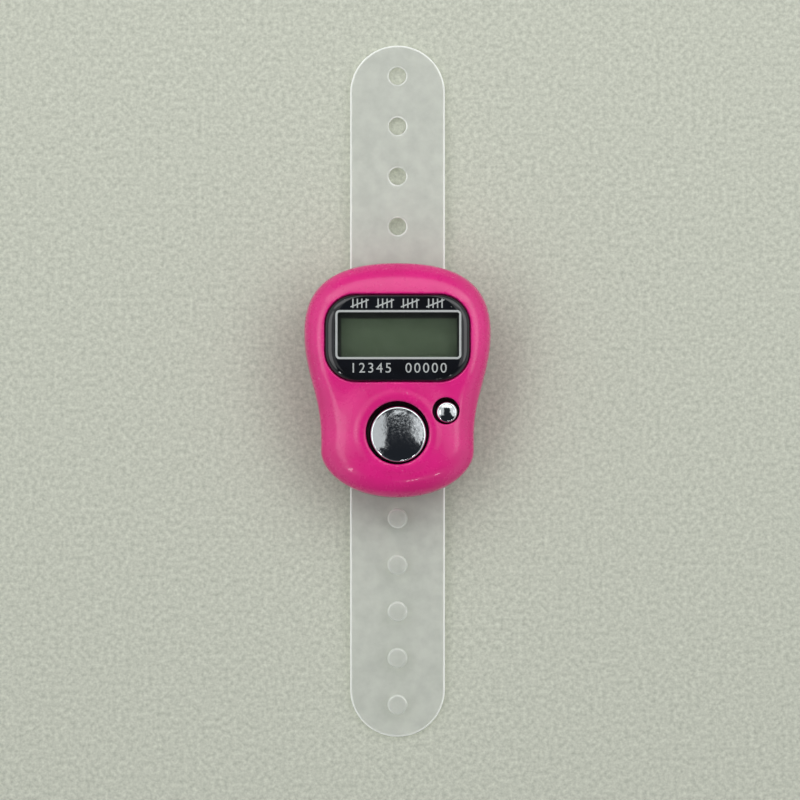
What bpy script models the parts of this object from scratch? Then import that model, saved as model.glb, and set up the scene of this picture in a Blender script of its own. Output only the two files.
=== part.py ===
# Digital row counter: a finger tally counter on a strap, for counting rows of knitting.
# Lengths are metres. +X is right and +Y is towards the hole end of the strap, as seen from
# above, and +Z comes out of the display. The strap loops and the strap's tips rest on z = 0.
# Sizes below count from the middle of the housing; place() moves every object so that the
# part's origin lies under the middle of the strap.

import math

import bmesh
import bpy
from mathutils import Vector

MM = 0.001

# Housing outline, from above, measured from its middle
TOP_REACH = 21.0 * MM
BOTTOM_REACH = 21.0 * MM
WIDE_Y = 8.6 * MM
WAIST_HALF = 13.7 * MM
WAIST_Y = -10.3 * MM
FOOT_Y = -12.7 * MM
TOP_HANDLE = 10.7 * MM
SHOULDER_HANDLE = 8.9 * MM
HIP_HANDLE = 7.6 * MM
WAIST_HANDLE = 7.9 * MM
FOOT_HANDLE = 3.5 * MM
BOTTOM_HANDLE = 8.8 * MM

# Moulded shells
WALL = 1.4 * MM
FLOOR = 1.2 * MM
PART_Z = 6.9 * MM
PART_GAP = 0.1 * MM
DRAFT = 0.12 * MM
EDGE_INSET = 3.6 * MM
EDGE_HEIGHT = 4.0 * MM
BASE_INSET = 2.6 * MM
BASE_HEIGHT = 2.8 * MM
SIDE_CROWN = 0.5 * MM
END_CROWN = 1.3 * MM
TONGUE_THICK = 0.6 * MM
TONGUE_RISE = 0.9 * MM

# Clearances: a working fit, a close fit inside the housing, and laid one on the other
FIT = 0.3 * MM
CLOSE_FIT = 0.2 * MM
SEAT = 0.1 * MM
BITE = 0.3 * MM

# Strap
STRAP_LENGTH = 124.1 * MM
STRAP_WIDTH = 17.0 * MM
STRAP_THICK = 1.0 * MM
STRAP_SHIFT = -1.94 * MM
STRAP_EDGE = 0.2 * MM
HOLE_COUNT = 5
HOLE_PITCH = 9.0 * MM
HOLE_RADIUS = 1.55 * MM
HOLE_END = 5.5 * MM
STUD_COUNT = 5
STUD_PITCH = 8.36 * MM
STUD_END = 5.8 * MM
STUD_STEM = 1.25 * MM
STUD_HEAD = 1.75 * MM
STUD_RISE = 1.0 * MM
STUD_CAP = 1.0 * MM

# Strap loops under the back cover
LOOP_THICK = 1.2 * MM
LOOP_LENGTH = 3.0 * MM
LOOP_LEG = 1.4 * MM
LOOP_ROUND = 0.6 * MM
LOOP_TOP_Y = 9.5 * MM
LOOP_BOTTOM_Y = -6.5 * MM

# Button cell and its contacts
CELL_RADIUS = 5.8 * MM
CELL_HEIGHT = 3.05 * MM
CELL_Y = -7.0 * MM
CRADLE_THICK = 0.8 * MM
CRADLE_RISE = 2.2 * MM
CONTACT_SPACE = 0.8 * MM
CONTACT_THICK = 0.2 * MM
CONTACT_WIDTH = 3.0 * MM
FOOT_LENGTH = 2.4 * MM
PAD_LENGTH = 3.2 * MM

# Circuit board and display
BOARD_THICK = 0.8 * MM
BLOB_RADIUS = 3.6 * MM
BLOB_RISE = 1.1 * MM
CHIP_LENGTH = 1.6 * MM
CHIP_WIDTH = 0.8 * MM
CHIP_RISE = 0.5 * MM
ZEBRA_HEIGHT = 1.3 * MM
ZEBRA_THICK = 1.6 * MM
REFLECTOR_THICK = 0.15 * MM
GLASS_THICK = 0.8 * MM
GLASS_OVERLAP_X = 1.0 * MM
GLASS_OVERLAP_Y = 1.75 * MM
GLASS_LEDGE = 1.9 * MM
RIB_THICK = 0.8 * MM
RIB_DROP = 1.3 * MM
BAY_CORNER = 0.4 * MM

# Lens and its pocket
LENS_MARGIN_X = 1.6 * MM
LENS_MARGIN_Y = 3.25 * MM
LENS_CORNER = 5.4 * MM
LENS_THICK = 1.7 * MM
LENS_EDGE_INSET = 2.2 * MM
LENS_EDGE_DROP = 0.9 * MM
LENS_PROUD = 0.45 * MM
LENS_Y = 7.56 * MM
LENS_GAP = 0.15 * MM
LEDGE = 0.8 * MM
TAPE_THICK = 0.15 * MM
TAPE_INSET = 0.8 * MM
WINDOW_LENGTH = 22.6 * MM
WINDOW_WIDTH = 8.9 * MM
WINDOW_CORNER = 0.8 * MM
WINDOW_Y = 8.1 * MM
POCKET_FLARE = 0.3 * MM
POCKET_BORDER = 3.65 * MM

# Buttons: the holes, the caps, and how far the caps sit from the middle of their holes
COUNT_X = 0.0 * MM
COUNT_Y = -9.35 * MM
COUNT_HOLE = 5.65 * MM
COUNT_CAP = 5.0 * MM
COUNT_PROUD = 0.9 * MM
COUNT_TRAVEL = 0.8 * MM
COUNT_ROUND = 0.8 * MM
RESET_X = 8.65 * MM
RESET_Y = -5.45 * MM
RESET_HOLE = 2.41 * MM
RESET_CAP = 1.86 * MM
RESET_PROUD = 0.3 * MM
RESET_TRAVEL = 0.6 * MM
RESET_ROUND = 0.45 * MM
BUTTON_SHIFT_X = 0.15 * MM
BUTTON_SHIFT_Y = -0.25 * MM
FLANGE_WIDTH = 0.5 * MM
FLANGE_THICK = 0.9 * MM
COLLAR_WIDTH = 2.7 * MM
COLLAR_CREST = 0.95 * MM
COLLAR_RISE = 0.55 * MM
HOLE_FLARE = 0.25 * MM

# Rubber domes and their carbon pills
DOME_FOOT = 0.7 * MM
DOME_SKIN = 0.5 * MM
DOME_SLOPE = 1.3 * MM
COUNT_DOME = 4.6 * MM
RESET_DOME = 2.7 * MM
COUNT_PILL = 1.5 * MM
RESET_PILL = 0.7 * MM

# Screws and the bosses that take them
BOSS_RADIUS = 1.7 * MM
BOARD_BOSS_RADIUS = 1.6 * MM
SHANK_RADIUS = 0.75 * MM
HEAD_RADIUS = 1.4 * MM
HEAD_HEIGHT = 0.9 * MM
HEAD_SINK = 0.25 * MM
CROSS_WIDTH = 0.45 * MM
CROSS_LENGTH = 1.7 * MM
CROSS_DEPTH = 0.45 * MM
CASE_SHANK = 6.0 * MM
BOARD_SHANK = 2.8 * MM
BOARD_SCREW_INSET = 4.45 * MM
BOARD_SCREW_Y = -0.8 * MM

# How finely round shapes are faceted
FINE = 40
MEDIUM = 24
COARSE = 16
EDGE_STEPS = 5

# The lens covers the window, and the housing is as wide as the lens's pocket and its border
LENS_LENGTH = WINDOW_LENGTH + 2 * LENS_MARGIN_X
LENS_WIDTH = WINDOW_WIDTH + 2 * LENS_MARGIN_Y
WIDE_HALF = LENS_LENGTH / 2 + LENS_GAP + POCKET_BORDER

# Heights, from the surface the counter lies on up to the count button
STRAP_Z = LOOP_THICK + FIT
BASE_Z = STRAP_Z + STRAP_THICK + FIT
FLOOR_Z = BASE_Z + FLOOR
CELL_Z = FLOOR_Z + CLOSE_FIT
BOARD_Z = CELL_Z + CELL_HEIGHT + CONTACT_SPACE
BOARD_TOP = BOARD_Z + BOARD_THICK
ZEBRA_Z = BOARD_TOP + SEAT
GLASS_Z = ZEBRA_Z + ZEBRA_HEIGHT + SEAT
GLASS_TOP = GLASS_Z + 2 * GLASS_THICK
ROOF_Z = GLASS_TOP + SEAT
LEDGE_Z = ROOF_Z + LEDGE
TAPE_Z = LEDGE_Z + SEAT / 2
LENS_Z = TAPE_Z + TAPE_THICK + SEAT / 2
LENS_TOP = LENS_Z + LENS_THICK
FACE_Z = LENS_TOP - LENS_PROUD
FLANGE_Z = ROOF_Z - SEAT - FLANGE_THICK


# Outline of the housing and the rings made from it

def bezier(start, start_handle, end_handle, end, steps):
    """Points of a cubic curve, without its end point."""
    points = []
    for step in range(steps):
        t = step / steps
        s = 1 - t
        points.append(start * s ** 3 + start_handle * 3 * s * s * t
                      + end_handle * 3 * s * t * t + end * t ** 3)
    return points


def outline(inset):
    """The housing's outline, drawn in by inset, as a closed clockwise loop of 2-D points."""
    shrink = 1 - inset / BOTTOM_REACH
    top = Vector((0, TOP_REACH - inset))
    wide = Vector((WIDE_HALF - inset, WIDE_Y * shrink))
    waist = Vector((WAIST_HALF - inset, WAIST_Y * shrink))
    foot = Vector((WAIST_HALF - inset, FOOT_Y * shrink))
    bottom = Vector((0, inset - BOTTOM_REACH))
    across = Vector((shrink, 0))
    down = Vector((0, -shrink))
    right = bezier(top, top + across * TOP_HANDLE, wide - down * SHOULDER_HANDLE, wide, 14)
    right += bezier(wide, wide + down * HIP_HANDLE, waist - down * WAIST_HANDLE, waist, 8)
    right += [waist]
    right += bezier(foot, foot + down * FOOT_HANDLE, bottom + across * BOTTOM_HANDLE, bottom, 12)
    left = [Vector((-point.x, point.y)) for point in reversed(right[1:])]
    return right + [bottom] + left


def face_height(x, y):
    """Height of the crowned front face over a point of the plan."""
    drop = SIDE_CROWN * (x / WIDE_HALF) ** 2
    if y < LENS_Y:
        drop += END_CROWN * ((LENS_Y - y) / (LENS_Y + BOTTOM_REACH)) ** 2
    return FACE_Z - drop


def outline_ring(inset, z, shrink=1.0, crown=0.0):
    """One ring of the shell at height z, lowered by the crown's share of the face's dome."""
    ring = []
    for point in outline(inset):
        x = point.x * shrink
        y = point.y * shrink
        ring.append(Vector((x, y, z - crown * (FACE_Z - face_height(x, y)))))
    return ring


def circle(radius, z, segments, centre=(0, 0), phase=0.0):
    """A ring of points, started a share of one step further round."""
    turn = 2 * math.pi / segments
    ring = []
    for i in range(segments):
        angle = turn * (i + phase)
        ring.append(Vector((centre[0] + radius * math.cos(angle), centre[1] + radius * math.sin(angle), z)))
    return ring


def draped_circle(radius, rise, segments, centre, phase=0.0):
    """A circle in plan that follows the crowned face at a given rise over it."""
    ring = circle(radius, 0, segments, centre, phase)
    return [Vector((point.x, point.y, face_height(point.x, point.y) + rise)) for point in ring]


def rounded_rectangle(length, width, corner, z, centre=(0, 0), corner_steps=5):
    """A ring with round corners, counterclockwise."""
    ring = []
    for quarter, (side_x, side_y) in enumerate(((1, 1), (-1, 1), (-1, -1), (1, -1))):
        middle_x = centre[0] + side_x * (length / 2 - corner)
        middle_y = centre[1] + side_y * (width / 2 - corner)
        for step in range(corner_steps + 1):
            angle = math.pi / 2 * (quarter + step / corner_steps)
            ring.append(Vector((middle_x + corner * math.cos(angle),
                                middle_y + corner * math.sin(angle), z)))
    return ring


# Objects and materials

def material(name, color, roughness, metallic=0.0, transmission=0.0):
    made = bpy.data.materials.new(name)
    made.use_nodes = True
    shader = made.node_tree.nodes["Principled BSDF"]
    shader.inputs["Base Color"].default_value = (*color, 1)
    shader.inputs["Roughness"].default_value = roughness
    shader.inputs["Metallic"].default_value = metallic
    shader.inputs["Transmission Weight"].default_value = transmission
    made.diffuse_color = (*color, 1)
    return made


def place(name, bm, finish, origin=(0, 0, 0)):
    """Turn a bmesh into an object whose own origin is at origin, and shift it to the part's origin."""
    bmesh.ops.recalc_face_normals(bm, faces=bm.faces)
    bmesh.ops.translate(bm, verts=bm.verts, vec=-Vector(origin))
    mesh = bpy.data.meshes.new(name)
    bm.to_mesh(mesh)
    bm.free()
    mesh.shade_smooth()
    mesh.set_sharp_from_angle(angle=math.radians(32))
    if finish:
        mesh.materials.append(finish)
    made = bpy.data.objects.new(name, mesh)
    made.location = Vector(origin) - Vector((0, STRAP_SHIFT, 0))
    bpy.context.scene.collection.objects.link(made)
    return made


def loft(bm, rings, closed=False):
    """Join rings of equal length with faces, and cap the ends unless the loft is closed."""
    loops = [[bm.verts.new(point) for point in ring] for ring in rings]
    pairs = list(zip(loops, loops[1:]))
    if closed:
        pairs.append((loops[-1], loops[0]))
    for lower, upper in pairs:
        for i in range(len(lower)):
            j = (i + 1) % len(lower)
            bm.faces.new((lower[i], lower[j], upper[j], upper[i]))
    if not closed:
        bm.faces.new(loops[0])
        bm.faces.new(loops[-1])
    return bm


def turned(profile, segments, centre=(0, 0), closed=False):
    """A lathe shape from (radius, height) pairs."""
    rings = [circle(radius, z, segments, centre) for radius, z in profile]
    return loft(bmesh.new(), rings, closed)


def box(low, high, bevel=0.0):
    bm = bmesh.new()
    bmesh.ops.create_cube(bm, size=1)
    size = Vector(high) - Vector(low)
    middle = (Vector(high) + Vector(low)) / 2
    bmesh.ops.scale(bm, verts=bm.verts, vec=size)
    bmesh.ops.translate(bm, verts=bm.verts, vec=middle)
    if bevel:
        bmesh.ops.bevel(bm, geom=bm.edges, offset=bevel, segments=2, profile=0.5, affect="EDGES")
    return bm


def extruded(points, direction):
    """A flat face of 3-D points, extruded along direction."""
    bm = bmesh.new()
    face = bm.faces.new([bm.verts.new(point) for point in points])
    grown = bmesh.ops.extrude_face_region(bm, geom=[face])
    moved = [item for item in grown["geom"] if isinstance(item, bmesh.types.BMVert)]
    bmesh.ops.translate(bm, verts=moved, vec=direction)
    return bm


def tool(name, bm):
    """A hidden solid that only cuts or fuses."""
    made = place(name, bm, None)
    made.hide_render = True
    made.display_type = "WIRE"
    return made


def combine(target, operation, name, bm):
    modifier = target.modifiers.new(name, "BOOLEAN")
    modifier.operation = operation
    modifier.solver = "EXACT"
    modifier.object = tool(target.name + "_" + name, bm)


def cut(target, name, bm):
    combine(target, "DIFFERENCE", name, bm)


def fuse(target, name, bm):
    combine(target, "UNION", name, bm)


def joined(parts):
    """Several separate closed shapes in one bmesh."""
    whole = bmesh.new()
    for part in parts:
        mesh = bpy.data.meshes.new("scratch")
        part.to_mesh(mesh)
        part.free()
        whole.from_mesh(mesh)
        bpy.data.meshes.remove(mesh)
    return whole


# Places shared by several pieces

def case_screw_places():
    """Two bosses in the top corners and two beside the straight sides, seen from above."""
    inset = WALL + BOSS_RADIUS - BITE / 2
    corner = outline(inset)[7]
    side = (outline(inset)[22] + outline(inset)[23]) / 2
    return [Vector((sign * point.x, point.y)) for point in (corner, side) for sign in (1, -1)]


def half_width(y):
    """Half the housing's outside width at a height y of the plan, on the right side below its top."""
    right = [point for point in outline(0) if point.x >= 0]
    for upper, lower in zip(right, right[1:]):
        if upper.y >= y > lower.y:
            return upper.x + (lower.x - upper.x) * (upper.y - y) / (upper.y - lower.y)
    return WIDE_HALF


def board_screw_places():
    x = half_width(BOARD_SCREW_Y) - BOARD_SCREW_INSET
    return [Vector((sign * x, BOARD_SCREW_Y)) for sign in (1, -1)]


def glass_size():
    return WINDOW_LENGTH + 2 * GLASS_OVERLAP_X, WINDOW_WIDTH + 2 * GLASS_OVERLAP_Y


def count_axis():
    return COUNT_X + BUTTON_SHIFT_X, COUNT_Y + BUTTON_SHIFT_Y


def reset_axis():
    return RESET_X + BUTTON_SHIFT_X, RESET_Y + BUTTON_SHIFT_Y


def studs(places, radius, low, high, segments=COARSE):
    """Equal upright cylinders at several places."""
    return joined([turned([(radius, low), (radius, high)], segments, point) for point in places])


# Front case

def case_shell():
    """One loft: down the inside from the roof, across the rim, and up the outside to the face."""
    edge_z = FACE_Z - EDGE_HEIGHT
    rim = PART_Z + PART_GAP / 2
    slope = EDGE_INSET - WALL
    rings = []
    for step in (3, 2, 1):
        angle = math.pi / 2 * step / 3
        rings.append(outline_ring(WALL + slope * (1 - math.cos(angle)),
                                  edge_z + (ROOF_Z - edge_z) * math.sin(angle)))
    rings += [outline_ring(WALL, edge_z), outline_ring(WALL, rim)]
    rings += [outline_ring(0, rim), outline_ring(DRAFT, edge_z)]
    for step in range(1, EDGE_STEPS + 1):
        angle = math.pi / 2 * step / EDGE_STEPS
        inset = DRAFT + (EDGE_INSET - DRAFT) * (1 - math.cos(angle))
        rings.append(outline_ring(inset, edge_z + EDGE_HEIGHT * math.sin(angle), 1, math.sin(angle)))
    for shrink in (0.78, 0.5, 0.2):
        rings.append(outline_ring(EDGE_INSET, FACE_Z, shrink, 1))
    return loft(bmesh.new(), rings)


def collar():
    """The soft raised ring round the count hole."""
    centre = (COUNT_X, COUNT_Y)
    inner = COUNT_HOLE - BITE
    outer = COUNT_HOLE + COLLAR_WIDTH
    crest = COUNT_HOLE + COLLAR_CREST
    sunk = BITE / 2
    rings = [draped_circle(inner, -LEDGE, FINE, centre, 0.5)]
    for step in range(8):
        radius = inner + (outer - inner) * step / 7
        swell = math.cos(math.pi / 2 * abs(radius - crest) / (outer - crest)) ** 1.3
        rings.append(draped_circle(radius, (COLLAR_RISE + sunk) * swell - sunk, FINE, centre, 0.5))
    rings.append(draped_circle(outer, -LEDGE, FINE, centre, 0.5))
    return loft(bmesh.new(), rings, closed=True)


def glass_rib():
    """The low frame under the roof that keeps the display in line with the window."""
    length, width = glass_size()
    inner = [length + 2 * CLOSE_FIT, width + 2 * CLOSE_FIT]
    outer = [side + 2 * RIB_THICK for side in inner]
    centre = (0, WINDOW_Y)
    low = ROOF_Z - RIB_DROP
    high = ROOF_Z + BITE
    rings = [rounded_rectangle(*inner, BAY_CORNER, low, centre, 2),
             rounded_rectangle(*inner, BAY_CORNER, high, centre, 2),
             rounded_rectangle(*outer, BAY_CORNER, high, centre, 2),
             rounded_rectangle(*outer, BAY_CORNER, low, centre, 2)]
    return loft(bmesh.new(), rings, closed=True)


def glass_bay():
    """Clear space for the display, cut out of anything that would stand in it."""
    length, width = glass_size()
    size = (length + 2 * CLOSE_FIT, width + 2 * CLOSE_FIT)
    centre = (0, WINDOW_Y)
    return loft(bmesh.new(), [rounded_rectangle(*size, BAY_CORNER, BOARD_TOP, centre, 2),
                              rounded_rectangle(*size, BAY_CORNER, ROOF_Z - SEAT / 2, centre, 2)])


def lens_pocket():
    """The lens's seat, with its mouth flared into a small fillet."""
    length = LENS_LENGTH + 2 * LENS_GAP
    width = LENS_WIDTH + 2 * LENS_GAP
    corner = LENS_CORNER + LENS_GAP
    mouth = FACE_Z - SIDE_CROWN
    centre = (0, LENS_Y)
    rings = [rounded_rectangle(length, width, corner, LEDGE_Z, centre),
             rounded_rectangle(length, width, corner, mouth - POCKET_FLARE, centre),
             rounded_rectangle(length + POCKET_FLARE, width + POCKET_FLARE, corner, mouth, centre),
             rounded_rectangle(length + 4 * POCKET_FLARE, width + 4 * POCKET_FLARE, corner,
                               FACE_Z + POCKET_FLARE, centre)]
    return loft(bmesh.new(), rings)


def window_opening():
    centre = (0, WINDOW_Y)
    return loft(bmesh.new(), [
        rounded_rectangle(WINDOW_LENGTH, WINDOW_WIDTH, WINDOW_CORNER, ROOF_Z - BITE, centre, 3),
        rounded_rectangle(WINDOW_LENGTH, WINDOW_WIDTH, WINDOW_CORNER, LEDGE_Z + BITE, centre, 3)])


def button_hole(centre, radius, rise, segments):
    """A hole through the roof whose mouth, at a rise over the face, is rounded off."""
    return loft(bmesh.new(), [
        circle(radius, ROOF_Z - BITE, segments, centre),
        draped_circle(radius, rise - HOLE_FLARE, segments, centre),
        draped_circle(radius + HOLE_FLARE * 0.3, rise - HOLE_FLARE * 0.3, segments, centre),
        draped_circle(radius + HOLE_FLARE * 2, rise + HOLE_FLARE, segments, centre)])


def front_case(pink):
    case = place("front_case", case_shell(), pink)
    case_places = case_screw_places()
    board_places = board_screw_places()
    pilot = SHANK_RADIUS + SEAT
    fuse(case, "bosses", joined([
        studs(case_places, BOSS_RADIUS, PART_Z + PART_GAP, ROOF_Z + BITE),
        studs(board_places, BOARD_BOSS_RADIUS, BOARD_TOP + SEAT, ROOF_Z + BITE)]))
    fuse(case, "glass_rib", glass_rib())
    fuse(case, "collar", collar())
    cut(case, "glass_bay", glass_bay())
    cut(case, "flange_rooms", joined([
        studs([count_axis()], COUNT_HOLE + FLANGE_WIDTH + FIT, BOARD_TOP, ROOF_Z - SEAT / 2, FINE),
        studs([reset_axis()], RESET_HOLE + FLANGE_WIDTH + FIT, BOARD_TOP, ROOF_Z - SEAT / 2, MEDIUM)]))
    cut(case, "pocket", lens_pocket())
    cut(case, "window", window_opening())
    cut(case, "button_holes", joined([
        button_hole((COUNT_X, COUNT_Y), COUNT_HOLE, COLLAR_RISE * 0.8, FINE),
        button_hole((RESET_X, RESET_Y), RESET_HOLE, 0, MEDIUM)]))
    cut(case, "pilots", joined([
        studs(case_places, pilot, PART_Z - BITE, PART_Z + CASE_SHANK, 12),
        studs(board_places, pilot, BOARD_TOP - BITE, ROOF_Z - BITE, 12)]))
    return case


# Back cover

def cover_shell():
    """One loft: up the outside, across the rim, over the tongue, and down the inside to the floor.
    The tongue is the lip that lines up the two shells."""
    rim = PART_Z - PART_GAP / 2
    lip_outside = WALL + CLOSE_FIT
    lip_inside = lip_outside + TONGUE_THICK
    lip_top = PART_Z + TONGUE_RISE
    rings = []
    for step in range(EDGE_STEPS + 1):
        angle = math.pi / 2 * step / EDGE_STEPS
        rings.append(outline_ring(BASE_INSET * (1 - math.sin(angle)),
                                  BASE_Z + BASE_HEIGHT * (1 - math.cos(angle))))
    rings += [outline_ring(0, rim), outline_ring(lip_outside, rim)]
    rings += [outline_ring(lip_outside, lip_top), outline_ring(lip_inside, lip_top)]
    rings += [outline_ring(lip_inside, PART_Z - BITE), outline_ring(WALL, PART_Z - 3 * BITE)]
    rings += [outline_ring(WALL, FLOOR_Z + BASE_HEIGHT * 0.6)]
    rings += [outline_ring(WALL + BASE_INSET * 0.3, FLOOR_Z + BASE_HEIGHT * 0.25)]
    rings += [outline_ring(WALL + BASE_INSET, FLOOR_Z)]
    return loft(bmesh.new(), rings)


def strap_loop(y):
    """A bar under the strap on two short legs, drawn as a U and extruded along Y."""
    leg_inside = STRAP_WIDTH / 2 + FIT
    leg_outside = leg_inside + LOOP_LEG
    right = [Vector((leg_inside, y, BASE_Z + FLOOR / 2)), Vector((leg_outside, y, BASE_Z + FLOOR / 2))]
    for step in range(4):
        angle = math.pi / 2 * step / 3
        right.append(Vector((leg_outside - LOOP_ROUND * (1 - math.cos(angle)), y,
                             LOOP_ROUND * (1 - math.sin(angle)))))
    left = [Vector((-point.x, y, point.z)) for point in reversed(right)]
    inside = [Vector((-leg_inside, y, LOOP_THICK)), Vector((leg_inside, y, LOOP_THICK))]
    bm = extruded(right + left + inside, Vector((0, LOOP_LENGTH, 0)))
    bmesh.ops.translate(bm, verts=bm.verts, vec=(0, -LOOP_LENGTH / 2, 0))
    return bm


def cell_cradle():
    inner = CELL_RADIUS + FIT
    outer = inner + CRADLE_THICK
    top = FLOOR_Z + CRADLE_RISE
    return turned([(inner, FLOOR_Z - BITE), (inner, top), (outer, top), (outer, FLOOR_Z - BITE)],
                  FINE, (0, CELL_Y), closed=True)


def back_cover(pink):
    cover = place("back_cover", cover_shell(), pink)
    places = case_screw_places()
    sink = HEAD_HEIGHT + HEAD_SINK
    fuse(cover, "bosses", studs(places, BOSS_RADIUS, FLOOR_Z - BITE, PART_Z - PART_GAP))
    fuse(cover, "cradle", cell_cradle())
    fuse(cover, "loops", joined([strap_loop(LOOP_TOP_Y), strap_loop(LOOP_BOTTOM_Y)]))
    cut(cover, "boss_room", studs(places, BOSS_RADIUS + CLOSE_FIT, PART_Z, PART_Z + 2 * TONGUE_RISE))
    cut(cover, "contact_slot", box(
        (CELL_RADIUS - BITE, CELL_Y - CONTACT_WIDTH / 2 - FIT, FLOOR_Z + BITE),
        (CELL_RADIUS + 3 * CRADLE_THICK, CELL_Y + CONTACT_WIDTH / 2 + FIT, PART_Z)))
    cut(cover, "screw_holes", joined([turned([
        (HEAD_RADIUS + SEAT, BASE_Z - BITE), (HEAD_RADIUS + SEAT, BASE_Z + sink + SEAT),
        (SHANK_RADIUS + CLOSE_FIT, BASE_Z + sink + SEAT), (SHANK_RADIUS + CLOSE_FIT, PART_Z + BITE)],
        COARSE, point) for point in places]))
    return cover


# Lens and display

def lens(finish):
    """A pillow-edged block: a straight rim, then an elliptical shoulder up to the flat top."""
    centre = (0, LENS_Y)
    rings = [rounded_rectangle(LENS_LENGTH, LENS_WIDTH, LENS_CORNER, LENS_Z, centre, 7)]
    for step in range(EDGE_STEPS):
        angle = math.pi / 2 * step / (EDGE_STEPS - 1)
        inset = LENS_EDGE_INSET * (1 - math.cos(angle))
        rings.append(rounded_rectangle(
            LENS_LENGTH - 2 * inset, LENS_WIDTH - 2 * inset, LENS_CORNER - inset,
            LENS_TOP - LENS_EDGE_DROP * (1 - math.sin(angle)), centre, 7))
    return place("lens_window", loft(bmesh.new(), rings), finish)


def lens_tape(finish):
    outer = (LENS_LENGTH - 2 * TAPE_INSET, LENS_WIDTH - 2 * TAPE_INSET, LENS_CORNER - TAPE_INSET)
    high = TAPE_Z + TAPE_THICK
    tape = place("lens_tape", loft(bmesh.new(), [rounded_rectangle(*outer, TAPE_Z, (0, LENS_Y)),
                                                 rounded_rectangle(*outer, high, (0, LENS_Y))]), finish)
    cut(tape, "window", loft(bmesh.new(), [
        rounded_rectangle(WINDOW_LENGTH, WINDOW_WIDTH, WINDOW_CORNER, TAPE_Z - BITE, (0, WINDOW_Y), 3),
        rounded_rectangle(WINDOW_LENGTH, WINDOW_WIDTH, WINDOW_CORNER, high + BITE, (0, WINDOW_Y), 3)]))
    return tape


def lcd_panel(finish):
    """Two panes of glass, the lower one longer so that its contacts meet the zebra strip."""
    length, width = glass_size()
    low = WINDOW_Y - width / 2
    high = WINDOW_Y + width / 2
    start = -length / 2
    middle = GLASS_Z + GLASS_THICK
    side = [(low, GLASS_Z), (high, GLASS_Z), (high, GLASS_TOP), (low + GLASS_LEDGE, GLASS_TOP),
            (low + GLASS_LEDGE, middle), (low, middle)]
    return place("lcd_panel", extruded([Vector((start, y, z)) for y, z in side],
                                       Vector((length, 0, 0))), finish)


def lcd_reflector(finish):
    length, width = glass_size()
    low = WINDOW_Y - width / 2 + GLASS_LEDGE + FIT
    top = GLASS_Z - SEAT / 2
    return place("lcd_reflector", box((-length / 2 + FIT, low, top - REFLECTOR_THICK),
                                      (length / 2 - FIT, WINDOW_Y + width / 2 - FIT, top)), finish)


def zebra_strip(finish):
    length, width = glass_size()
    low = WINDOW_Y - width / 2
    return place("zebra_strip", box((-length / 2 + FIT, low + SEAT, ZEBRA_Z),
                                    (length / 2 - FIT, low + SEAT + ZEBRA_THICK,
                                     ZEBRA_Z + ZEBRA_HEIGHT)), finish)


# Circuit board and what is soldered to its underside

def circuit_board(finish):
    inset = WALL + 2 * FIT
    board = place("circuit_board", loft(bmesh.new(), [outline_ring(inset, BOARD_Z),
                                                      outline_ring(inset, BOARD_TOP)]), finish)
    cut(board, "boss_notches", studs(case_screw_places(), BOSS_RADIUS + FIT, BOARD_Z - BITE,
                                     BOARD_TOP + BITE, MEDIUM))
    cut(board, "screw_holes", studs(board_screw_places(), SHANK_RADIUS + CLOSE_FIT, BOARD_Z - BITE,
                                    BOARD_TOP + BITE))
    return board


def chip_blob(finish):
    top = BOARD_Z - SEAT
    profile = [(BLOB_RADIUS, top)]
    for step in range(1, 5):
        angle = math.pi / 2 * step / 5
        profile.append((BLOB_RADIUS * math.cos(angle), top - BLOB_RISE * math.sin(angle)))
    return place("chip_blob", turned(profile, MEDIUM, (0, WINDOW_Y)), finish)


def chip(name, x, y, finish):
    top = BOARD_Z - SEAT
    return place(name, box((x - CHIP_LENGTH / 2, y - CHIP_WIDTH / 2, top - CHIP_RISE),
                           (x + CHIP_LENGTH / 2, y + CHIP_WIDTH / 2, top)), finish)


def battery_cell(finish):
    top = CELL_Z + CELL_HEIGHT
    bevel = CONTACT_THICK
    profile = [(CELL_RADIUS - bevel, CELL_Z), (CELL_RADIUS, CELL_Z + bevel), (CELL_RADIUS, top - 2 * bevel),
               (CELL_RADIUS - 2 * bevel, top - bevel), (CELL_RADIUS - 4 * bevel, top - bevel),
               (CELL_RADIUS - 5 * bevel, top)]
    return place("battery_cell", turned(profile, FINE, (0, CELL_Y)), finish)


def folded_strip(name, path, finish):
    """A strip of sheet metal: the path in X and Z gets half the sheet's thickness on each side."""
    half = CONTACT_THICK / 2
    sides = ([], [])
    for i, point in enumerate(path):
        before = (point - path[i - 1]).normalized() if i else (path[1] - point).normalized()
        after = (path[i + 1] - point).normalized() if i + 1 < len(path) else before
        bend = (before + after).normalized()
        normal = Vector((-bend.y, bend.x))
        reach = half / max(0.3, bend.dot(before))
        sides[0].append(point + normal * reach)
        sides[1].append(point - normal * reach)
    start = CELL_Y - CONTACT_WIDTH / 2
    loop = [Vector((p.x, start, p.y)) for p in sides[0] + sides[1][::-1]]
    return place(name, extruded(loop, Vector((0, CONTACT_WIDTH, 0))), finish)


def battery_contacts(finish):
    foot_z = BOARD_Z - SEAT - CONTACT_THICK / 2
    pad_z = CELL_Z + CELL_HEIGHT + SEAT / 2 + CONTACT_THICK / 2
    folded_strip("battery_contact_negative", [
        Vector((-PAD_LENGTH - 2 * FOOT_LENGTH, foot_z)), Vector((-PAD_LENGTH - FOOT_LENGTH, foot_z)),
        Vector((-PAD_LENGTH / 2, pad_z)), Vector((PAD_LENGTH / 2, pad_z))], finish)
    arm_x = CELL_RADIUS + SEAT + CONTACT_THICK / 2
    folded_strip("battery_contact_positive", [
        Vector((arm_x, CELL_Z + FIT)), Vector((arm_x, foot_z)), Vector((arm_x + FOOT_LENGTH, foot_z))],
        finish)


# Buttons with their domes and pills

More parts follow.
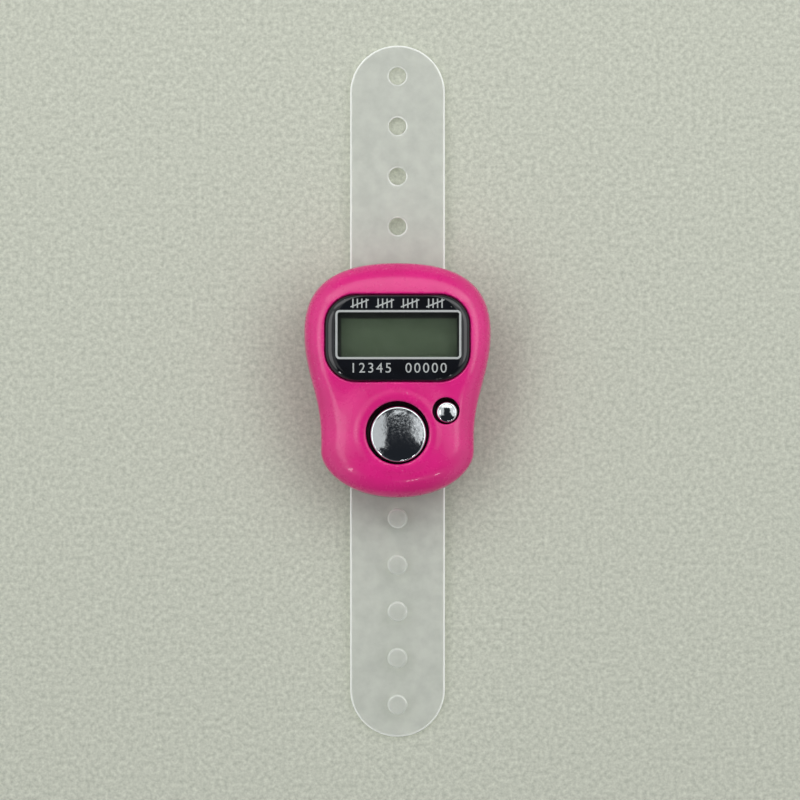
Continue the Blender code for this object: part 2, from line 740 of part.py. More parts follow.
def button(name, axis, hole, cap, top, rounding, finish, segments):
    """A plated cap on a flange that keeps it in the case; the origin is on the sliding axis."""
    flange = hole + FLANGE_WIDTH
    profile = [(flange, FLANGE_Z), (flange, FLANGE_Z + FLANGE_THICK), (cap, FLANGE_Z + FLANGE_THICK)]
    for step in range(5):
        angle = math.pi / 2 * step / 4
        profile.append((cap - rounding * (1 - math.cos(angle)), top - rounding * (1 - math.sin(angle))))
    return place(name, turned(profile, segments, axis), finish, (*axis, FLANGE_Z))


def dome(name, axis, radius, finish):
    low = BOARD_TOP + SEAT
    top = FLANGE_Z - SEAT
    plateau = radius - DOME_SLOPE
    inside = top - DOME_SKIN
    profile = [(plateau - DOME_SKIN / 2, inside), (radius - DOME_FOOT, low + DOME_SKIN),
               (radius - DOME_FOOT, low), (radius, low), (radius, low + DOME_SKIN), (plateau, top)]
    return place(name, turned(profile, MEDIUM, axis), finish)


def pill(name, axis, radius, travel, finish):
    low = BOARD_TOP + SEAT + travel
    high = FLANGE_Z - SEAT - DOME_SKIN - SEAT / 2
    return place(name, turned([(radius, low), (radius, high)], COARSE, axis), finish, (*axis, low))


def buttons(chrome, rubber, carbon):
    count_top = face_height(COUNT_X, COUNT_Y) + COLLAR_RISE + COUNT_PROUD / 2
    reset_top = face_height(RESET_X, RESET_Y) + RESET_PROUD
    count = button("count_button", count_axis(), COUNT_HOLE, COUNT_CAP, count_top, COUNT_ROUND, chrome, FINE)
    cut(count, "reset_room", studs([reset_axis()], RESET_HOLE + FLANGE_WIDTH + FIT, FLANGE_Z - BITE,
                                   FLANGE_Z + FLANGE_THICK + SEAT / 2, MEDIUM))
    button("reset_button", reset_axis(), RESET_HOLE, RESET_CAP, reset_top, RESET_ROUND, chrome, MEDIUM)
    dome("count_dome", count_axis(), COUNT_DOME, rubber)
    dome("reset_dome", reset_axis(), RESET_DOME, rubber)
    pill("count_pill", count_axis(), COUNT_PILL, COUNT_TRAVEL, carbon)
    pill("reset_pill", reset_axis(), RESET_PILL, RESET_TRAVEL, carbon)


# Screws

def screw(name, point, head_z, shank, finish):
    """A pan head facing down with a cross recess, and its shank going up."""
    shoulder = head_z + HEAD_HEIGHT
    profile = [(HEAD_RADIUS * 0.75, head_z), (HEAD_RADIUS, head_z + HEAD_HEIGHT * 0.45),
               (HEAD_RADIUS, shoulder), (SHANK_RADIUS, shoulder), (SHANK_RADIUS, shoulder + shank),
               (SHANK_RADIUS * 0.3, shoulder + shank + SHANK_RADIUS)]
    made = place(name, turned(profile, COARSE, point), finish, (point.x, point.y, head_z))
    for slot, (half_x, half_y) in enumerate(((CROSS_LENGTH / 2, CROSS_WIDTH / 2),
                                             (CROSS_WIDTH / 2, CROSS_LENGTH / 2))):
        cut(made, "cross_%d" % (slot + 1), box(
            (point.x - half_x, point.y - half_y, head_z - BITE),
            (point.x + half_x, point.y + half_y, head_z + CROSS_DEPTH * (1 + 0.1 * slot))))


def screws(steel):
    for i, point in enumerate(case_screw_places()):
        screw("case_screw_%d" % (i + 1), point, BASE_Z + HEAD_SINK, CASE_SHANK, steel)
    for i, point in enumerate(board_screw_places()):
        screw("board_screw_%d" % (i + 1), point, BOARD_Z - SEAT - HEAD_HEIGHT, BOARD_SHANK, steel)


# Strap

def strap_lift(y):
    """Height of the strap's underside: flat in the loops, then sagging like a beam to z = 0."""
    if y > LOOP_TOP_Y:
        start = LOOP_TOP_Y + LOOP_LENGTH / 2
        reach = STRAP_SHIFT + STRAP_LENGTH / 2 - start
        s = max(0.0, y - start) / reach
    else:
        start = LOOP_BOTTOM_Y - LOOP_LENGTH / 2
        reach = start - (STRAP_SHIFT - STRAP_LENGTH / 2)
        s = max(0.0, start - y) / reach
    return STRAP_Z * (1 - s * s * (6 - 4 * s + s * s) / 3)


def strap_stations():
    """Places along Y with the strap's half width there: close together round the two ends."""
    half = STRAP_WIDTH / 2
    middle = STRAP_LENGTH / 2 - half
    ends = [(math.sin(math.radians(a)), math.cos(math.radians(a))) for a in (86, 77, 66, 54, 41, 28, 14)]
    stations = [(STRAP_SHIFT + middle + half * rise, half * side) for rise, side in ends]
    steps = 22
    stations += [(STRAP_SHIFT + middle * (1 - 2 * i / steps), half) for i in range(steps + 1)]
    stations += [(STRAP_SHIFT - middle - half * rise, half * side) for rise, side in reversed(ends)]
    return stations


def strap_band():
    rings = []
    for y, half in strap_stations():
        low = strap_lift(y)
        edge = min(STRAP_EDGE, half / 4)
        section = [(half, low + edge), (half, low + STRAP_THICK - edge),
                   (half - edge, low + STRAP_THICK), (edge - half, low + STRAP_THICK),
                   (-half, low + STRAP_THICK - edge), (-half, low + edge), (edge - half, low),
                   (half - edge, low)]
        rings.append([Vector((x, y, z)) for x, z in section])
    return loft(bmesh.new(), rings)


def strap_holes():
    end = STRAP_SHIFT + STRAP_LENGTH / 2 - HOLE_END
    return joined([turned([(HOLE_RADIUS, -STRAP_THICK), (HOLE_RADIUS, STRAP_Z + 2 * STRAP_THICK)],
                          COARSE, (0, end - HOLE_PITCH * i)) for i in range(HOLE_COUNT)])


def snap_studs():
    end = STRAP_SHIFT - STRAP_LENGTH / 2 + STUD_END
    shapes = []
    for i in range(STUD_COUNT):
        y = end + STUD_PITCH * i
        base = strap_lift(y) + STRAP_THICK
        neck = base + STUD_RISE
        profile = [(STUD_STEM, base - BITE), (STUD_STEM, neck), (STUD_HEAD, neck + STUD_CAP * 0.15),
                   (STUD_HEAD, neck + STUD_CAP * 0.4), (STUD_HEAD * 0.82, neck + STUD_CAP * 0.8),
                   (STUD_HEAD * 0.45, neck + STUD_CAP)]
        shapes.append(turned(profile, COARSE, (0, y)))
    return joined(shapes)


def strap(finish):
    band = place("strap", strap_band(), finish, (0, STRAP_SHIFT, STRAP_Z))
    cut(band, "holes", strap_holes())
    fuse(band, "studs", snap_studs())
    return band


def build():
    for old in list(bpy.data.objects):
        bpy.data.objects.remove(old, do_unlink=True)
    pink = material("pink_abs", (0.72, 0.035, 0.21), 0.18)
    chrome = material("chrome_plating", (0.85, 0.87, 0.88), 0.06, 1.0)
    steel = material("zinc_plated_steel", (0.62, 0.62, 0.6), 0.3, 1.0)
    black = material("black_back_print", (0.012, 0.012, 0.013), 0.1)
    tape = material("black_adhesive_foam", (0.02, 0.02, 0.02), 0.8)
    glass = material("lcd_glass", (0.06, 0.08, 0.05), 0.1)
    silver = material("silver_reflector_film", (0.5, 0.52, 0.45), 0.35)
    zebra = material("striped_contact_rubber", (0.45, 0.25, 0.27), 0.7)
    board = material("green_solder_mask", (0.02, 0.2, 0.06), 0.4)
    epoxy = material("black_epoxy", (0.015, 0.015, 0.015), 0.3)
    ceramic = material("tan_ceramic", (0.4, 0.28, 0.18), 0.5)
    nickel = material("nickel_plated_steel", (0.7, 0.69, 0.66), 0.2, 1.0)
    rubber = material("grey_silicone_rubber", (0.5, 0.5, 0.5), 0.6)
    carbon = material("carbon_filled_rubber", (0.02, 0.02, 0.02), 0.7)
    clear = material("frosted_clear_elastomer", (0.62, 0.64, 0.6), 0.4, 0.0, 0.5)

    front_case(pink)
    back_cover(pink)
    lens(black)
    lens_tape(tape)
    lcd_panel(glass)
    lcd_reflector(silver)
    zebra_strip(zebra)
    circuit_board(board)
    chip_blob(epoxy)
    chip("chip_resistor", -2 * BLOB_RADIUS, WINDOW_Y, epoxy)
    chip("chip_capacitor_1", 2 * BLOB_RADIUS, WINDOW_Y - CHIP_LENGTH, ceramic)
    chip("chip_capacitor_2", 2 * BLOB_RADIUS, WINDOW_Y + CHIP_LENGTH, ceramic)
    battery_cell(nickel)
    battery_contacts(nickel)
    buttons(chrome, rubber, carbon)
    screws(steel)
    strap(clear)


build()
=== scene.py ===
# Digital row counter on a snap strap: the looks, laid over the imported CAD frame.
# Lengths in the dictionaries are millimetres. Plan places count from the middle of the housing,
# which lies middleY above the middle of the strap, where the frame's origin is.

from functools import partial
from math import cos, hypot, pi, radians, sin, sqrt

import bmesh
import bpy
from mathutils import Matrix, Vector


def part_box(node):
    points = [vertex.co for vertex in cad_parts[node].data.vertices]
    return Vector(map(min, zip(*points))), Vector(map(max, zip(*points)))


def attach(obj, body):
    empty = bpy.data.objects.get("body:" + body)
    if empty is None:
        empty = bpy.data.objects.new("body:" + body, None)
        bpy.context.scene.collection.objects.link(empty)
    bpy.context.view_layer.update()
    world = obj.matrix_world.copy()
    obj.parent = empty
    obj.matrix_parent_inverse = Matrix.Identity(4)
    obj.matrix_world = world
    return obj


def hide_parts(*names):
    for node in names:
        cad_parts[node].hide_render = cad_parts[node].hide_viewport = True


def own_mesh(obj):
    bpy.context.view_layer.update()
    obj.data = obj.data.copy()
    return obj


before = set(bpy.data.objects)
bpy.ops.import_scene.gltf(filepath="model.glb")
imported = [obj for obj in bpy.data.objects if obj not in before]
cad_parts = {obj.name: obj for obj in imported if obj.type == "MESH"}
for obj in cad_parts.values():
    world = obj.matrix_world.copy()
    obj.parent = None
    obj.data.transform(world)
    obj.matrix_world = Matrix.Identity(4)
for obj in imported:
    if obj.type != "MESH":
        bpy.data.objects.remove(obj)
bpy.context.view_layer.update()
print("stage: CAD frame loaded")

mm = 0.001
middleY = 1.94
weldGap = 0.002 * mm

heights = {
    "loop": 1.2, "strap": 1.5, "base": 2.8, "floor": 4.0, "part": 6.9, "partGap": 0.1,
    "roof": 12.05, "ledge": 12.85, "lens": 13.1, "lensTop": 14.8, "face": 14.35, "flange": 11.05,
}


# Camera: straight above, far back with a long lens

cameraSetup = {"x": 0.45, "y": -1.58, "distance": 2000.0, "view": 142.96, "level": 10.0, "sensor": 36}

bpy.ops.object.select_all(action="DESELECT")
bpy.ops.object.camera_add(
    location=(cameraSetup["x"] * mm, cameraSetup["y"] * mm,
              (cameraSetup["distance"] + cameraSetup["level"]) * mm),
    rotation=(0, 0, 0))
camera = bpy.context.object
camera.name = "topCamera"
camera.data.sensor_width = cameraSetup["sensor"]
camera.data.lens = cameraSetup["sensor"] * cameraSetup["distance"] / cameraSetup["view"]
camera.data.clip_end = 100
bpy.context.scene.camera = camera


# Shapes in plan, and the height of the face over them

pear = {
    "top": 21.0, "bottom": 21.0, "wideHalf": 16.7, "wideY": 8.6, "waistHalf": 13.7,
    "waistY": -10.3, "footY": -12.7, "topHandle": 10.7, "shoulderHandle": 8.9, "hipHandle": 7.6,
    "waistHandle": 7.9, "footHandle": 3.5, "bottomHandle": 8.8,
    "sideCrown": 0.5, "endCrown": 1.3, "crownY": 7.56, "browCrown": 0.55, "browY": 13.2,
    "browTo": 17.4, "hipCrown": 1.0, "hipFrom": 2.0, "hipTo": -6.0,
    "shoulderSteps": 56, "hipSteps": 32, "sideSteps": 4, "footSteps": 48,
}

# two ridges round the count button, one narrow and one broad, each as crest, outer radius and rise
collar = {"x": 0.0, "y": -9.35, "ridges": ((6.6, 8.1, 0.15), (6.8, 12.0, 0.4))}


def bezier(start, startHandle, endHandle, end, steps):
    points = []
    for step in range(steps):
        t = step / steps
        s = 1 - t
        points.append(start * s ** 3 + startHandle * 3 * s * s * t
                      + endHandle * 3 * s * t * t + end * t ** 3)
    return points


def pearOutline(inset):
    shrink = 1 - inset / pear["bottom"]
    top = Vector((0, pear["top"] - inset))
    wide = Vector((pear["wideHalf"] - inset, pear["wideY"] * shrink))
    waist = Vector((pear["waistHalf"] - inset, pear["waistY"] * shrink))
    foot = Vector((pear["waistHalf"] - inset, pear["footY"] * shrink))
    bottom = Vector((0, inset - pear["bottom"]))
    across = Vector((shrink, 0))
    down = Vector((0, -shrink))
    right = bezier(top, top + across * pear["topHandle"],
                   wide - down * pear["shoulderHandle"], wide, pear["shoulderSteps"])
    right += bezier(wide, wide + down * pear["hipHandle"],
                    waist - down * pear["waistHandle"], waist, pear["hipSteps"])
    right += [waist + (foot - waist) * step / pear["sideSteps"] for step in range(pear["sideSteps"])]
    right += bezier(foot, foot + down * pear["footHandle"],
                    bottom + across * pear["bottomHandle"], bottom, pear["footSteps"])
    left = [Vector((-point.x, point.y)) for point in reversed(right[1:])]
    return right + [bottom] + left


def faceHeight(x, y):
    drop = pear["sideCrown"] * (x / pear["wideHalf"]) ** 2
    if y < pear["crownY"]:
        drop += pear["endCrown"] * ((pear["crownY"] - y) / (pear["crownY"] + pear["bottom"])) ** 2
    if y > pear["browY"]:
        drop += pear["browCrown"] * ((y - pear["browY"]) / (pear["browTo"] - pear["browY"])) ** 2
    low = max(0, min(1, (pear["hipFrom"] - y) / (pear["hipFrom"] - pear["hipTo"])))
    drop += pear["hipCrown"] * low * low * (3 - 2 * low) * (abs(x) / pear["waistHalf"]) ** 5
    return heights["face"] - drop


def collarRise(x, y):
    radius = hypot(x - collar["x"], y - collar["y"])
    total = 0.0
    for crest, outer, rise in collar["ridges"]:
        away = min(1, abs(radius - crest) / (outer - crest))
        total += rise * cos(pi / 2 * away) ** 2
    return total


def topHeight(x, y):
    return faceHeight(x, y) + collarRise(x, y)


def at(x, y, z):
    return Vector((x * mm, (y + middleY) * mm, z * mm))


def pearRing(inset, z, shrink=1.0, crown=0.0):
    ring = []
    for point in pearOutline(inset):
        x = point.x * shrink
        y = point.y * shrink
        ring.append(at(x, y, z - crown * (heights["face"] - topHeight(x, y))))
    return ring


def placed(spots, level):
    # level is a height, or a function that gives the height over a spot of the plan
    return [at(x, y, level(x, y) if callable(level) else level) for x, y in spots]


def roundedRing(plan, middle, level, grow=0.0, perSide=14, perCorner=10):
    # plan is the length, the width and the radius of the corners
    length, width, corner = plan[0] + 2 * grow, plan[1] + 2 * grow, plan[2] + grow
    corners = []
    for quarter, (sideX, sideY) in enumerate(((1, 1), (-1, 1), (-1, -1), (1, -1))):
        for step in range(perCorner + 1):
            angle = pi / 2 * (quarter + step / perCorner)
            corners.append((middle[0] + sideX * (length / 2 - corner) + corner * cos(angle),
                            middle[1] + sideY * (width / 2 - corner) + corner * sin(angle)))
    ring = []
    for i, start in enumerate(corners):
        end = corners[(i + 1) % len(corners)]
        ring.append(start)
        if (i + 1) % (perCorner + 1) == 0:
            for step in range(1, perSide):
                share = step / perSide
                ring.append([a + (b - a) * share for a, b in zip(start, end)])
    return placed(ring, level)


def circleRing(radius, middle, level, steps=96):
    angles = [2 * pi * (step + 0.5) / steps for step in range(steps)]
    return placed([(middle[0] + radius * cos(angle), middle[1] + radius * sin(angle))
                   for angle in angles], level)


def above(surface, rise):
    return lambda x, y: surface(x, y) + rise


def quarterTurn(steps, first=0):
    # how far a rounded corner has come in and gone up, as shares, at each step of its turn
    angles = [pi / 2 * step / steps for step in range(first, steps + 1)]
    return [(1 - cos(angle), sin(angle)) for angle in angles]


# Modelling moves

def clearSelection():
    if bpy.context.object and bpy.context.object.mode != "OBJECT":
        bpy.ops.object.mode_set(mode="OBJECT")
    bpy.ops.object.select_all(action="DESELECT")


def focus(piece):
    clearSelection()
    piece.select_set(True)
    bpy.context.view_layer.objects.active = piece


def justMade(name):
    piece = bpy.context.object
    piece.name = piece.data.name = name
    return piece


def applyPlace():
    bpy.ops.object.transform_apply(location=True, rotation=True, scale=True)


def editAll(piece):
    focus(piece)
    bpy.ops.object.mode_set(mode="EDIT")
    bpy.ops.mesh.select_all(action="SELECT")


def weldAll():
    bpy.ops.mesh.select_all(action="SELECT")
    bpy.ops.mesh.remove_doubles(threshold=weldGap)


def fixNormals(piece):
    editAll(piece)
    bpy.ops.mesh.normals_make_consistent(inside=False)
    bpy.ops.object.mode_set(mode="OBJECT")
    return piece


def growDisc(name, rings, closeSeams=False):
    # a disc is extruded again and again, and each time its rim is set on the next ring
    clearSelection()
    bpy.ops.mesh.primitive_circle_add(vertices=len(rings[0]), radius=mm, fill_type="NGON")
    piece = justMade(name)
    bpy.ops.object.mode_set(mode="EDIT")
    bpy.ops.mesh.select_mode(type="FACE")
    count = len(rings[0])
    for number, ring in enumerate(rings):
        if number:
            bpy.ops.mesh.extrude_region_move()
        shape = bmesh.from_edit_mesh(piece.data)
        rim = [face for face in shape.faces if face.select][0].verts[:]
        if number:
            first = min(range(count), key=lambda i: (rim[i].co - previous[0]).length_squared)
            forward = (rim[(first + 1) % count].co - previous[1]).length_squared
            backward = (rim[first - 1].co - previous[1]).length_squared
            step = 1 if forward <= backward else -1
        else:
            first, step = 0, 1
        for i in range(count):
            rim[(first + step * i) % count].co = ring[i]
        bmesh.update_edit_mesh(piece.data)
        previous = ring
    if closeSeams:
        bpy.ops.mesh.select_all(action="DESELECT")
        bpy.ops.mesh.select_face_by_sides(number=4, type="GREATER")
        bpy.ops.mesh.delete(type="ONLY_FACE")
        bpy.ops.mesh.select_mode(type="VERT")
        weldAll()
    return fixNormals(piece)


def spinProfile(name, profile, middle, steps=96):
    # one vertex is extruded along the profile, and the line is spun round the axis
    clearSelection()
    bpy.ops.mesh.primitive_plane_add(size=mm)
    piece = justMade(name)
    bpy.ops.object.mode_set(mode="EDIT")
    bpy.ops.mesh.select_mode(type="VERT")
    bpy.ops.mesh.merge(type="CENTER")
    for number, (radius, z) in enumerate(profile):
        if number:
            bpy.ops.mesh.extrude_region_move()
        shape = bmesh.from_edit_mesh(piece.data)
        for corner in shape.verts:
            if corner.select:
                corner.co = at(middle[0] + radius, middle[1], z)
        bmesh.update_edit_mesh(piece.data)
    bpy.ops.mesh.select_all(action="SELECT")
    bpy.ops.mesh.spin(steps=steps, angle=2 * pi, center=at(middle[0], middle[1], 0), axis=(0, 0, 1))
    weldAll()
    return fixNormals(piece)


def block(name, low, high, bevel=0.0, segments=3):
    clearSelection()
    size = [b - a for a, b in zip(low, high)]
    middle = [(a + b) / 2 for a, b in zip(low, high)]
    bpy.ops.mesh.primitive_cube_add(size=1, location=at(*middle), scale=[side * mm for side in size])
    piece = justMade(name)
    applyPlace()
    if bevel:
        addModifier(piece, "BEVEL", width=bevel * mm, segments=segments, limit_method="ANGLE")
    return piece


def addModifier(piece, kind, **settings):
    focus(piece)
    modifier = piece.modifiers.new(kind.lower(), kind)
    for key, value in settings.items():
        setattr(modifier, key, value)
    bpy.ops.object.modifier_apply(modifier=modifier.name)


def joinAll(pieces):
    focus(pieces[0])
    for piece in pieces:
        piece.select_set(True)
    if len(pieces) > 1:
        bpy.ops.object.join()
    return pieces[0]


def carve(piece, operation, cutter):
    addModifier(piece, "BOOLEAN", operation=operation, solver="EXACT", object=cutter)
    bpy.data.objects.remove(cutter)


def finish(piece, finishMaterial, body, nodes=(), angle=35):
    focus(piece)
    bpy.ops.object.shade_smooth_by_angle(angle=radians(angle))
    piece.data.materials.clear()
    piece.data.materials.append(finishMaterial)
    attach(piece, body)
    if nodes:
        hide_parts(*nodes)


# Material helpers

def fromHex(code):
    channels = [int(code[i:i + 2], 16) / 255 for i in (1, 3, 5)]
    linear = [c / 12.92 if c <= 0.04045 else ((c + 0.055) / 1.055) ** 2.4 for c in channels]
    return (*linear, 1)


def perMm(size):
    # the scale at which a pattern repeats about every size millimetres in Object coordinates
    return 1 / (size * mm)


# noise lies mostly between these
noiseSpan = {"From Min": 0.3, "From Max": 0.7}


def addNode(tree, kind, inputs=None, **settings):
    # a node or socket given for an input is linked to it, a hex colour is made linear, and any other
    # value is set as it is
    node = tree.nodes.new("ShaderNode" + kind)
    for key, value in settings.items():
        setattr(node, key, value)
    for key, value in (inputs or {}).items():
        if isinstance(value, bpy.types.Node):
            value = next(output for output in value.outputs if output.enabled)
        if isinstance(value, bpy.types.NodeSocket):
            tree.links.new(value, node.inputs[key])
        else:
            node.inputs[key].default_value = fromHex(value) if isinstance(value, str) else value
    return node


def paint(recipe, look):
    # a recipe adds its nodes with add, over places in the piece's own coordinates, and gives the shader
    made = bpy.data.materials.new(look.get("name", recipe.__name__))
    made.use_nodes = True
    made.node_tree.nodes.clear()
    add = partial(addNode, made.node_tree)
    shader = recipe(add, add("TexCoord").outputs["Object"], look)
    add("OutputMaterial", {"Surface": shader})
    return made


def twoTones(add, place, size, tones, low=0.3, **noise):
    # one tone drifts into the other over patches of about this size
    drift = add("TexNoise", {"Vector": place, "Scale": perMm(size), **noise})
    drift = add("MapRange", {"Value": drift, "From Min": low, "From Max": 1 - low})
    return add("Mix", {0: drift, 6: tones[0], 7: tones[1]}, data_type="RGBA")


def dusted(add, place, colour, dust, size, least, most):
    # a few pale motes of about this size lie on the colour
    motes = add("TexNoise", {"Vector": place, "Scale": perMm(size), "Detail": 1.0})
    motes = add("MapRange", {"Value": motes, "From Min": least, "From Max": 0.8, "To Max": most})
    return add("Mix", {0: motes, 6: colour, 7: dust}, data_type="RGBA")


def grained(add, place, look, **noise):
    # a fine grain that is a rougher and a smoother share and a relief
    grain = add("TexNoise", {"Vector": place, "Scale": perMm(look["grainSize"]), **noise})
    roughness = add("MapRange", {
        "Value": grain, **noiseSpan, "To Min": look["smooth"], "To Max": look["rough"]})
    relief = add("Bump", {"Height": grain, "Distance": look["grain"] * mm})
    return {"Roughness": roughness, "Normal": relief}


def mottled(add, place, look):
    # two close tones under a fine grain
    tone = twoTones(add, place, look["toneSize"], (look["tone"], look["otherTone"]), Detail=4.0)
    return add("BsdfPrincipled", {"Base Color": tone, **grained(add, place, look), **look["more"]})


# Front housing

housingLook = {
    "pink": "#D51E7B", "deepPink": "#CB1C73", "driftSize": 7.0, "dust": "#E6A9C4", "dustSize": 0.8,
    "smooth": 0.24, "rough": 0.32, "rubSize": 3.1, "coat": 0.25, "coatRough": 0.045,
    "waveSize": 1.7, "wave": 0.0016, "grainSize": 0.35, "grain": 0.0002, "refraction": 1.47,
}


def glossyMouldedAbs(add, place, look):
    # ABS from a polished mould: deep pink that drifts a little, a broad soft sheen with a sharper one
    # over it that ripples, and a few motes of dust
    pink = twoTones(add, place, look["driftSize"], (look["pink"], look["deepPink"]), 0.35, Detail=3.0)
    colour = dusted(add, place, pink, look["dust"], look["dustSize"], 0.74, 0.25)
    rubbed = add("TexNoise", {
        "Vector": place, "Scale": perMm(look["rubSize"]), "Detail": 5.0, "Roughness": 0.65})
    roughness = add("MapRange", {
        "Value": rubbed, "From Min": 0.3, "From Max": 0.75,
        "To Min": look["smooth"], "To Max": look["rough"]})
    wave = add("TexNoise", {
        "Vector": place, "Scale": perMm(look["waveSize"]), "Roughness": 0.4})
    ripple = add("Bump", {"Height": wave, "Distance": look["wave"] * mm})
    fine = add("TexNoise", {"Vector": place, "Scale": perMm(look["grainSize"]), "Detail": 3.0})
    grain = add("Bump", {"Height": fine, "Normal": ripple, "Distance": look["grain"] * mm})
    return add("BsdfPrincipled", {
        "Base Color": colour, "Roughness": roughness, "Normal": grain, "IOR": look["refraction"],
        "Coat Weight": look["coat"], "Coat Roughness": look["coatRough"], "Coat Normal": ripple})


frontSizes = {
    "draft": 0.12, "edgeInset": 3.6, "edgeHeight": 4.0, "edgeSteps": 18, "faceSteps": 56,
    "sideShares": (0.35, 0.7, 1), "wall": 1.4, "rimChamfer": 0.1,
    # openings as length, width and radius of the corners
    "pocket": (26.1, 15.7, 5.55), "pocketMiddle": (0.0, 7.56), "pocketRound": 0.28,
    "window": (22.6, 8.9, 0.8), "windowMiddle": (0.0, 8.1),
    "wells": {"countWell": {"middle": (0.0, -9.35), "hole": 5.65, "round": 0.3},
              "resetWell": {"middle": (8.65, -5.45), "hole": 2.41, "round": 0.22}},
    "insideSteps": 5, "overrun": 0.5, "clear": 2.0,
}

# the turn of a rounded mouth in degrees, and how far past it a cutter goes, in shares of its radius
mouthShape = {"turn": (0, 20, 40, 58, 72), "pastOut": 1.25, "pastUp": 0.3}


def frontRings():
    size = frontSizes
    edge = heights["face"] - size["edgeHeight"]
    rim = heights["part"] + heights["partGap"] / 2
    slope = size["edgeInset"] - size["wall"]
    rings = []
    for inward, up in reversed(quarterTurn(size["insideSteps"], 1)):
        rings.append(pearRing(size["wall"] + slope * inward, edge + (heights["roof"] - edge) * up))
    rings += [pearRing(size["wall"], edge), pearRing(size["wall"], rim)]
    rings += [pearRing(size["rimChamfer"], rim), pearRing(0, rim + size["rimChamfer"])]
    for share in size["sideShares"]:
        rings.append(pearRing(size["draft"] * share, rim + size["rimChamfer"]
                              + (edge - rim - size["rimChamfer"]) * share))
    for inward, up in quarterTurn(size["edgeSteps"], 1):
        inset = size["draft"] + (size["edgeInset"] - size["draft"]) * inward
        rings.append(pearRing(inset, edge + size["edgeHeight"] * up, 1, up))
    for step in range(1, size["faceSteps"]):
        rings.append(pearRing(size["edgeInset"], heights["face"], 1 - step / size["faceSteps"], 1))
    return rings


def roundOver(rounding):
    # how far the mouth has opened, and its height over the face, from the wall to just clear of it
    angles = [radians(degrees) for degrees in mouthShape["turn"]]
    steps = [(rounding * (1 - cos(angle)), rounding * (sin(angle) - 1)) for angle in angles]
    return steps + [(rounding * mouthShape["pastOut"], rounding * mouthShape["pastUp"])]


def lensWell():
    # the window, the ledge and the lens's pocket, whose mouth is rounded over into the face
    size = frontSizes
    rings = []
    for level in (heights["roof"] - size["overrun"], heights["ledge"]):
        rings.append(roundedRing(size["window"], size["windowMiddle"], level))
    steps = [(0.0, heights["ledge"])]
    steps += [(grow, above(topHeight, drop)) for grow, drop in roundOver(size["pocketRound"])]
    steps.append((steps[-1][0], heights["face"] + size["clear"]))
    for grow, level in steps:
        rings.append(roundedRing(size["pocket"], size["pocketMiddle"], level, grow))
    return growDisc("lensWell", rings)


def buttonWell(name, size):
    rings = [circleRing(size["hole"], size["middle"], heights["roof"] - frontSizes["overrun"])]
    for grow, drop in roundOver(size["round"]):
        rings.append(circleRing(size["hole"] + grow, size["middle"], above(topHeight, drop)))
    rings.append(circleRing(size["hole"] + grow, size["middle"], heights["face"] + frontSizes["clear"]))
    return growDisc(name, rings)


pinkAbs = paint(glossyMouldedAbs, housingLook)
frontCase = growDisc("frontCase", frontRings())
carve(frontCase, "DIFFERENCE", joinAll(
    [lensWell()] + [buttonWell(name, size) for name, size in frontSizes["wells"].items()]))
finish(frontCase, pinkAbs, "housing", ["front_case"])
print("stage: front case", len(frontCase.data.polygons), "faces")


# Back cover with the strap loops

coverSizes = {
    "baseInset": 2.6, "baseHeight": 2.8, "edgeSteps": 12, "wall": 1.4, "lipGap": 0.2, "lip": 0.6,
    "lipRise": 0.9, "rimChamfer": 0.1,
    "loopInside": 8.8, "loopLeg": 1.4, "loopLength": 3.0, "loopPlaces": (9.5, -6.5), "loopRound": 0.45,
    "loopBite": 0.6, "gapRound": 0.25, "loopSegments": 4, "lipFrom": 6.6, "lipTo": 6.0,
    # the floor of the hollow, as shares of the base's inset and height
    "hollow": ((0, 0.6), (0.3, 0.25), (1, 0)),
    "screwHead": 1.5, "screwSink": 1.25, "screwShank": 0.95, "shankTop": 7.4, "screwSteps": 40,
    "mouth": ((0.5, -1.0), (0.35, -0.15), (0.05, 0.06), (0.0, 0.2)),
    "boss": ((0, 3.7), (1.7, 3.7), (1.7, 6.8), (0, 6.8)),
}


def atScrews(name, profile):
    # the same turned piece at each of the CAD's case screws
    pieces = []
    for number in range(1, 5):
        low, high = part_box("case_screw_%d" % number)
        middle = (low + high) / 2 / mm
        pieces.append(spinProfile(name, profile, (middle.x, middle.y - middleY),
                                  coverSizes["screwSteps"]))
    return pieces


def coverRings():
    size = coverSizes
    rim = heights["part"] - heights["partGap"] / 2
    rings = []
    for inward, up in quarterTurn(size["edgeSteps"]):
        rings.append(pearRing(size["baseInset"] * (1 - up),
                              heights["base"] + size["baseHeight"] * inward))
    rings += [pearRing(0, rim - size["rimChamfer"]), pearRing(size["rimChamfer"], rim)]
    lipOutside = size["wall"] + size["lipGap"]
    lipInside = lipOutside + size["lip"]
    lipTop = heights["part"] + size["lipRise"]
    rings += [pearRing(lipOutside, rim), pearRing(lipOutside, lipTop), pearRing(lipInside, lipTop)]
    rings += [pearRing(lipInside, size["lipFrom"]), pearRing(size["wall"], size["lipTo"])]
    for inward, up in size["hollow"]:
        rings.append(pearRing(size["wall"] + size["baseInset"] * inward,
                              heights["floor"] + size["baseHeight"] * up))
    return rings


def strapLoops():
    size = coverSizes
    outside = size["loopInside"] + size["loopLeg"]
    loops = []
    for y in size["loopPlaces"]:
        low = (-outside, y - size["loopLength"] / 2, 0)
        high = (outside, y + size["loopLength"] / 2, heights["base"] + size["loopBite"])
        loop = block("loop", low, high, size["loopRound"], size["loopSegments"])
        gap = block("loopGap", (-size["loopInside"], low[1] - 1, heights["loop"]),
                    (size["loopInside"], high[1] + 1, heights["base"] + 1), size["gapRound"])
        carve(loop, "DIFFERENCE", gap)
        loops.append(loop)
    return loops


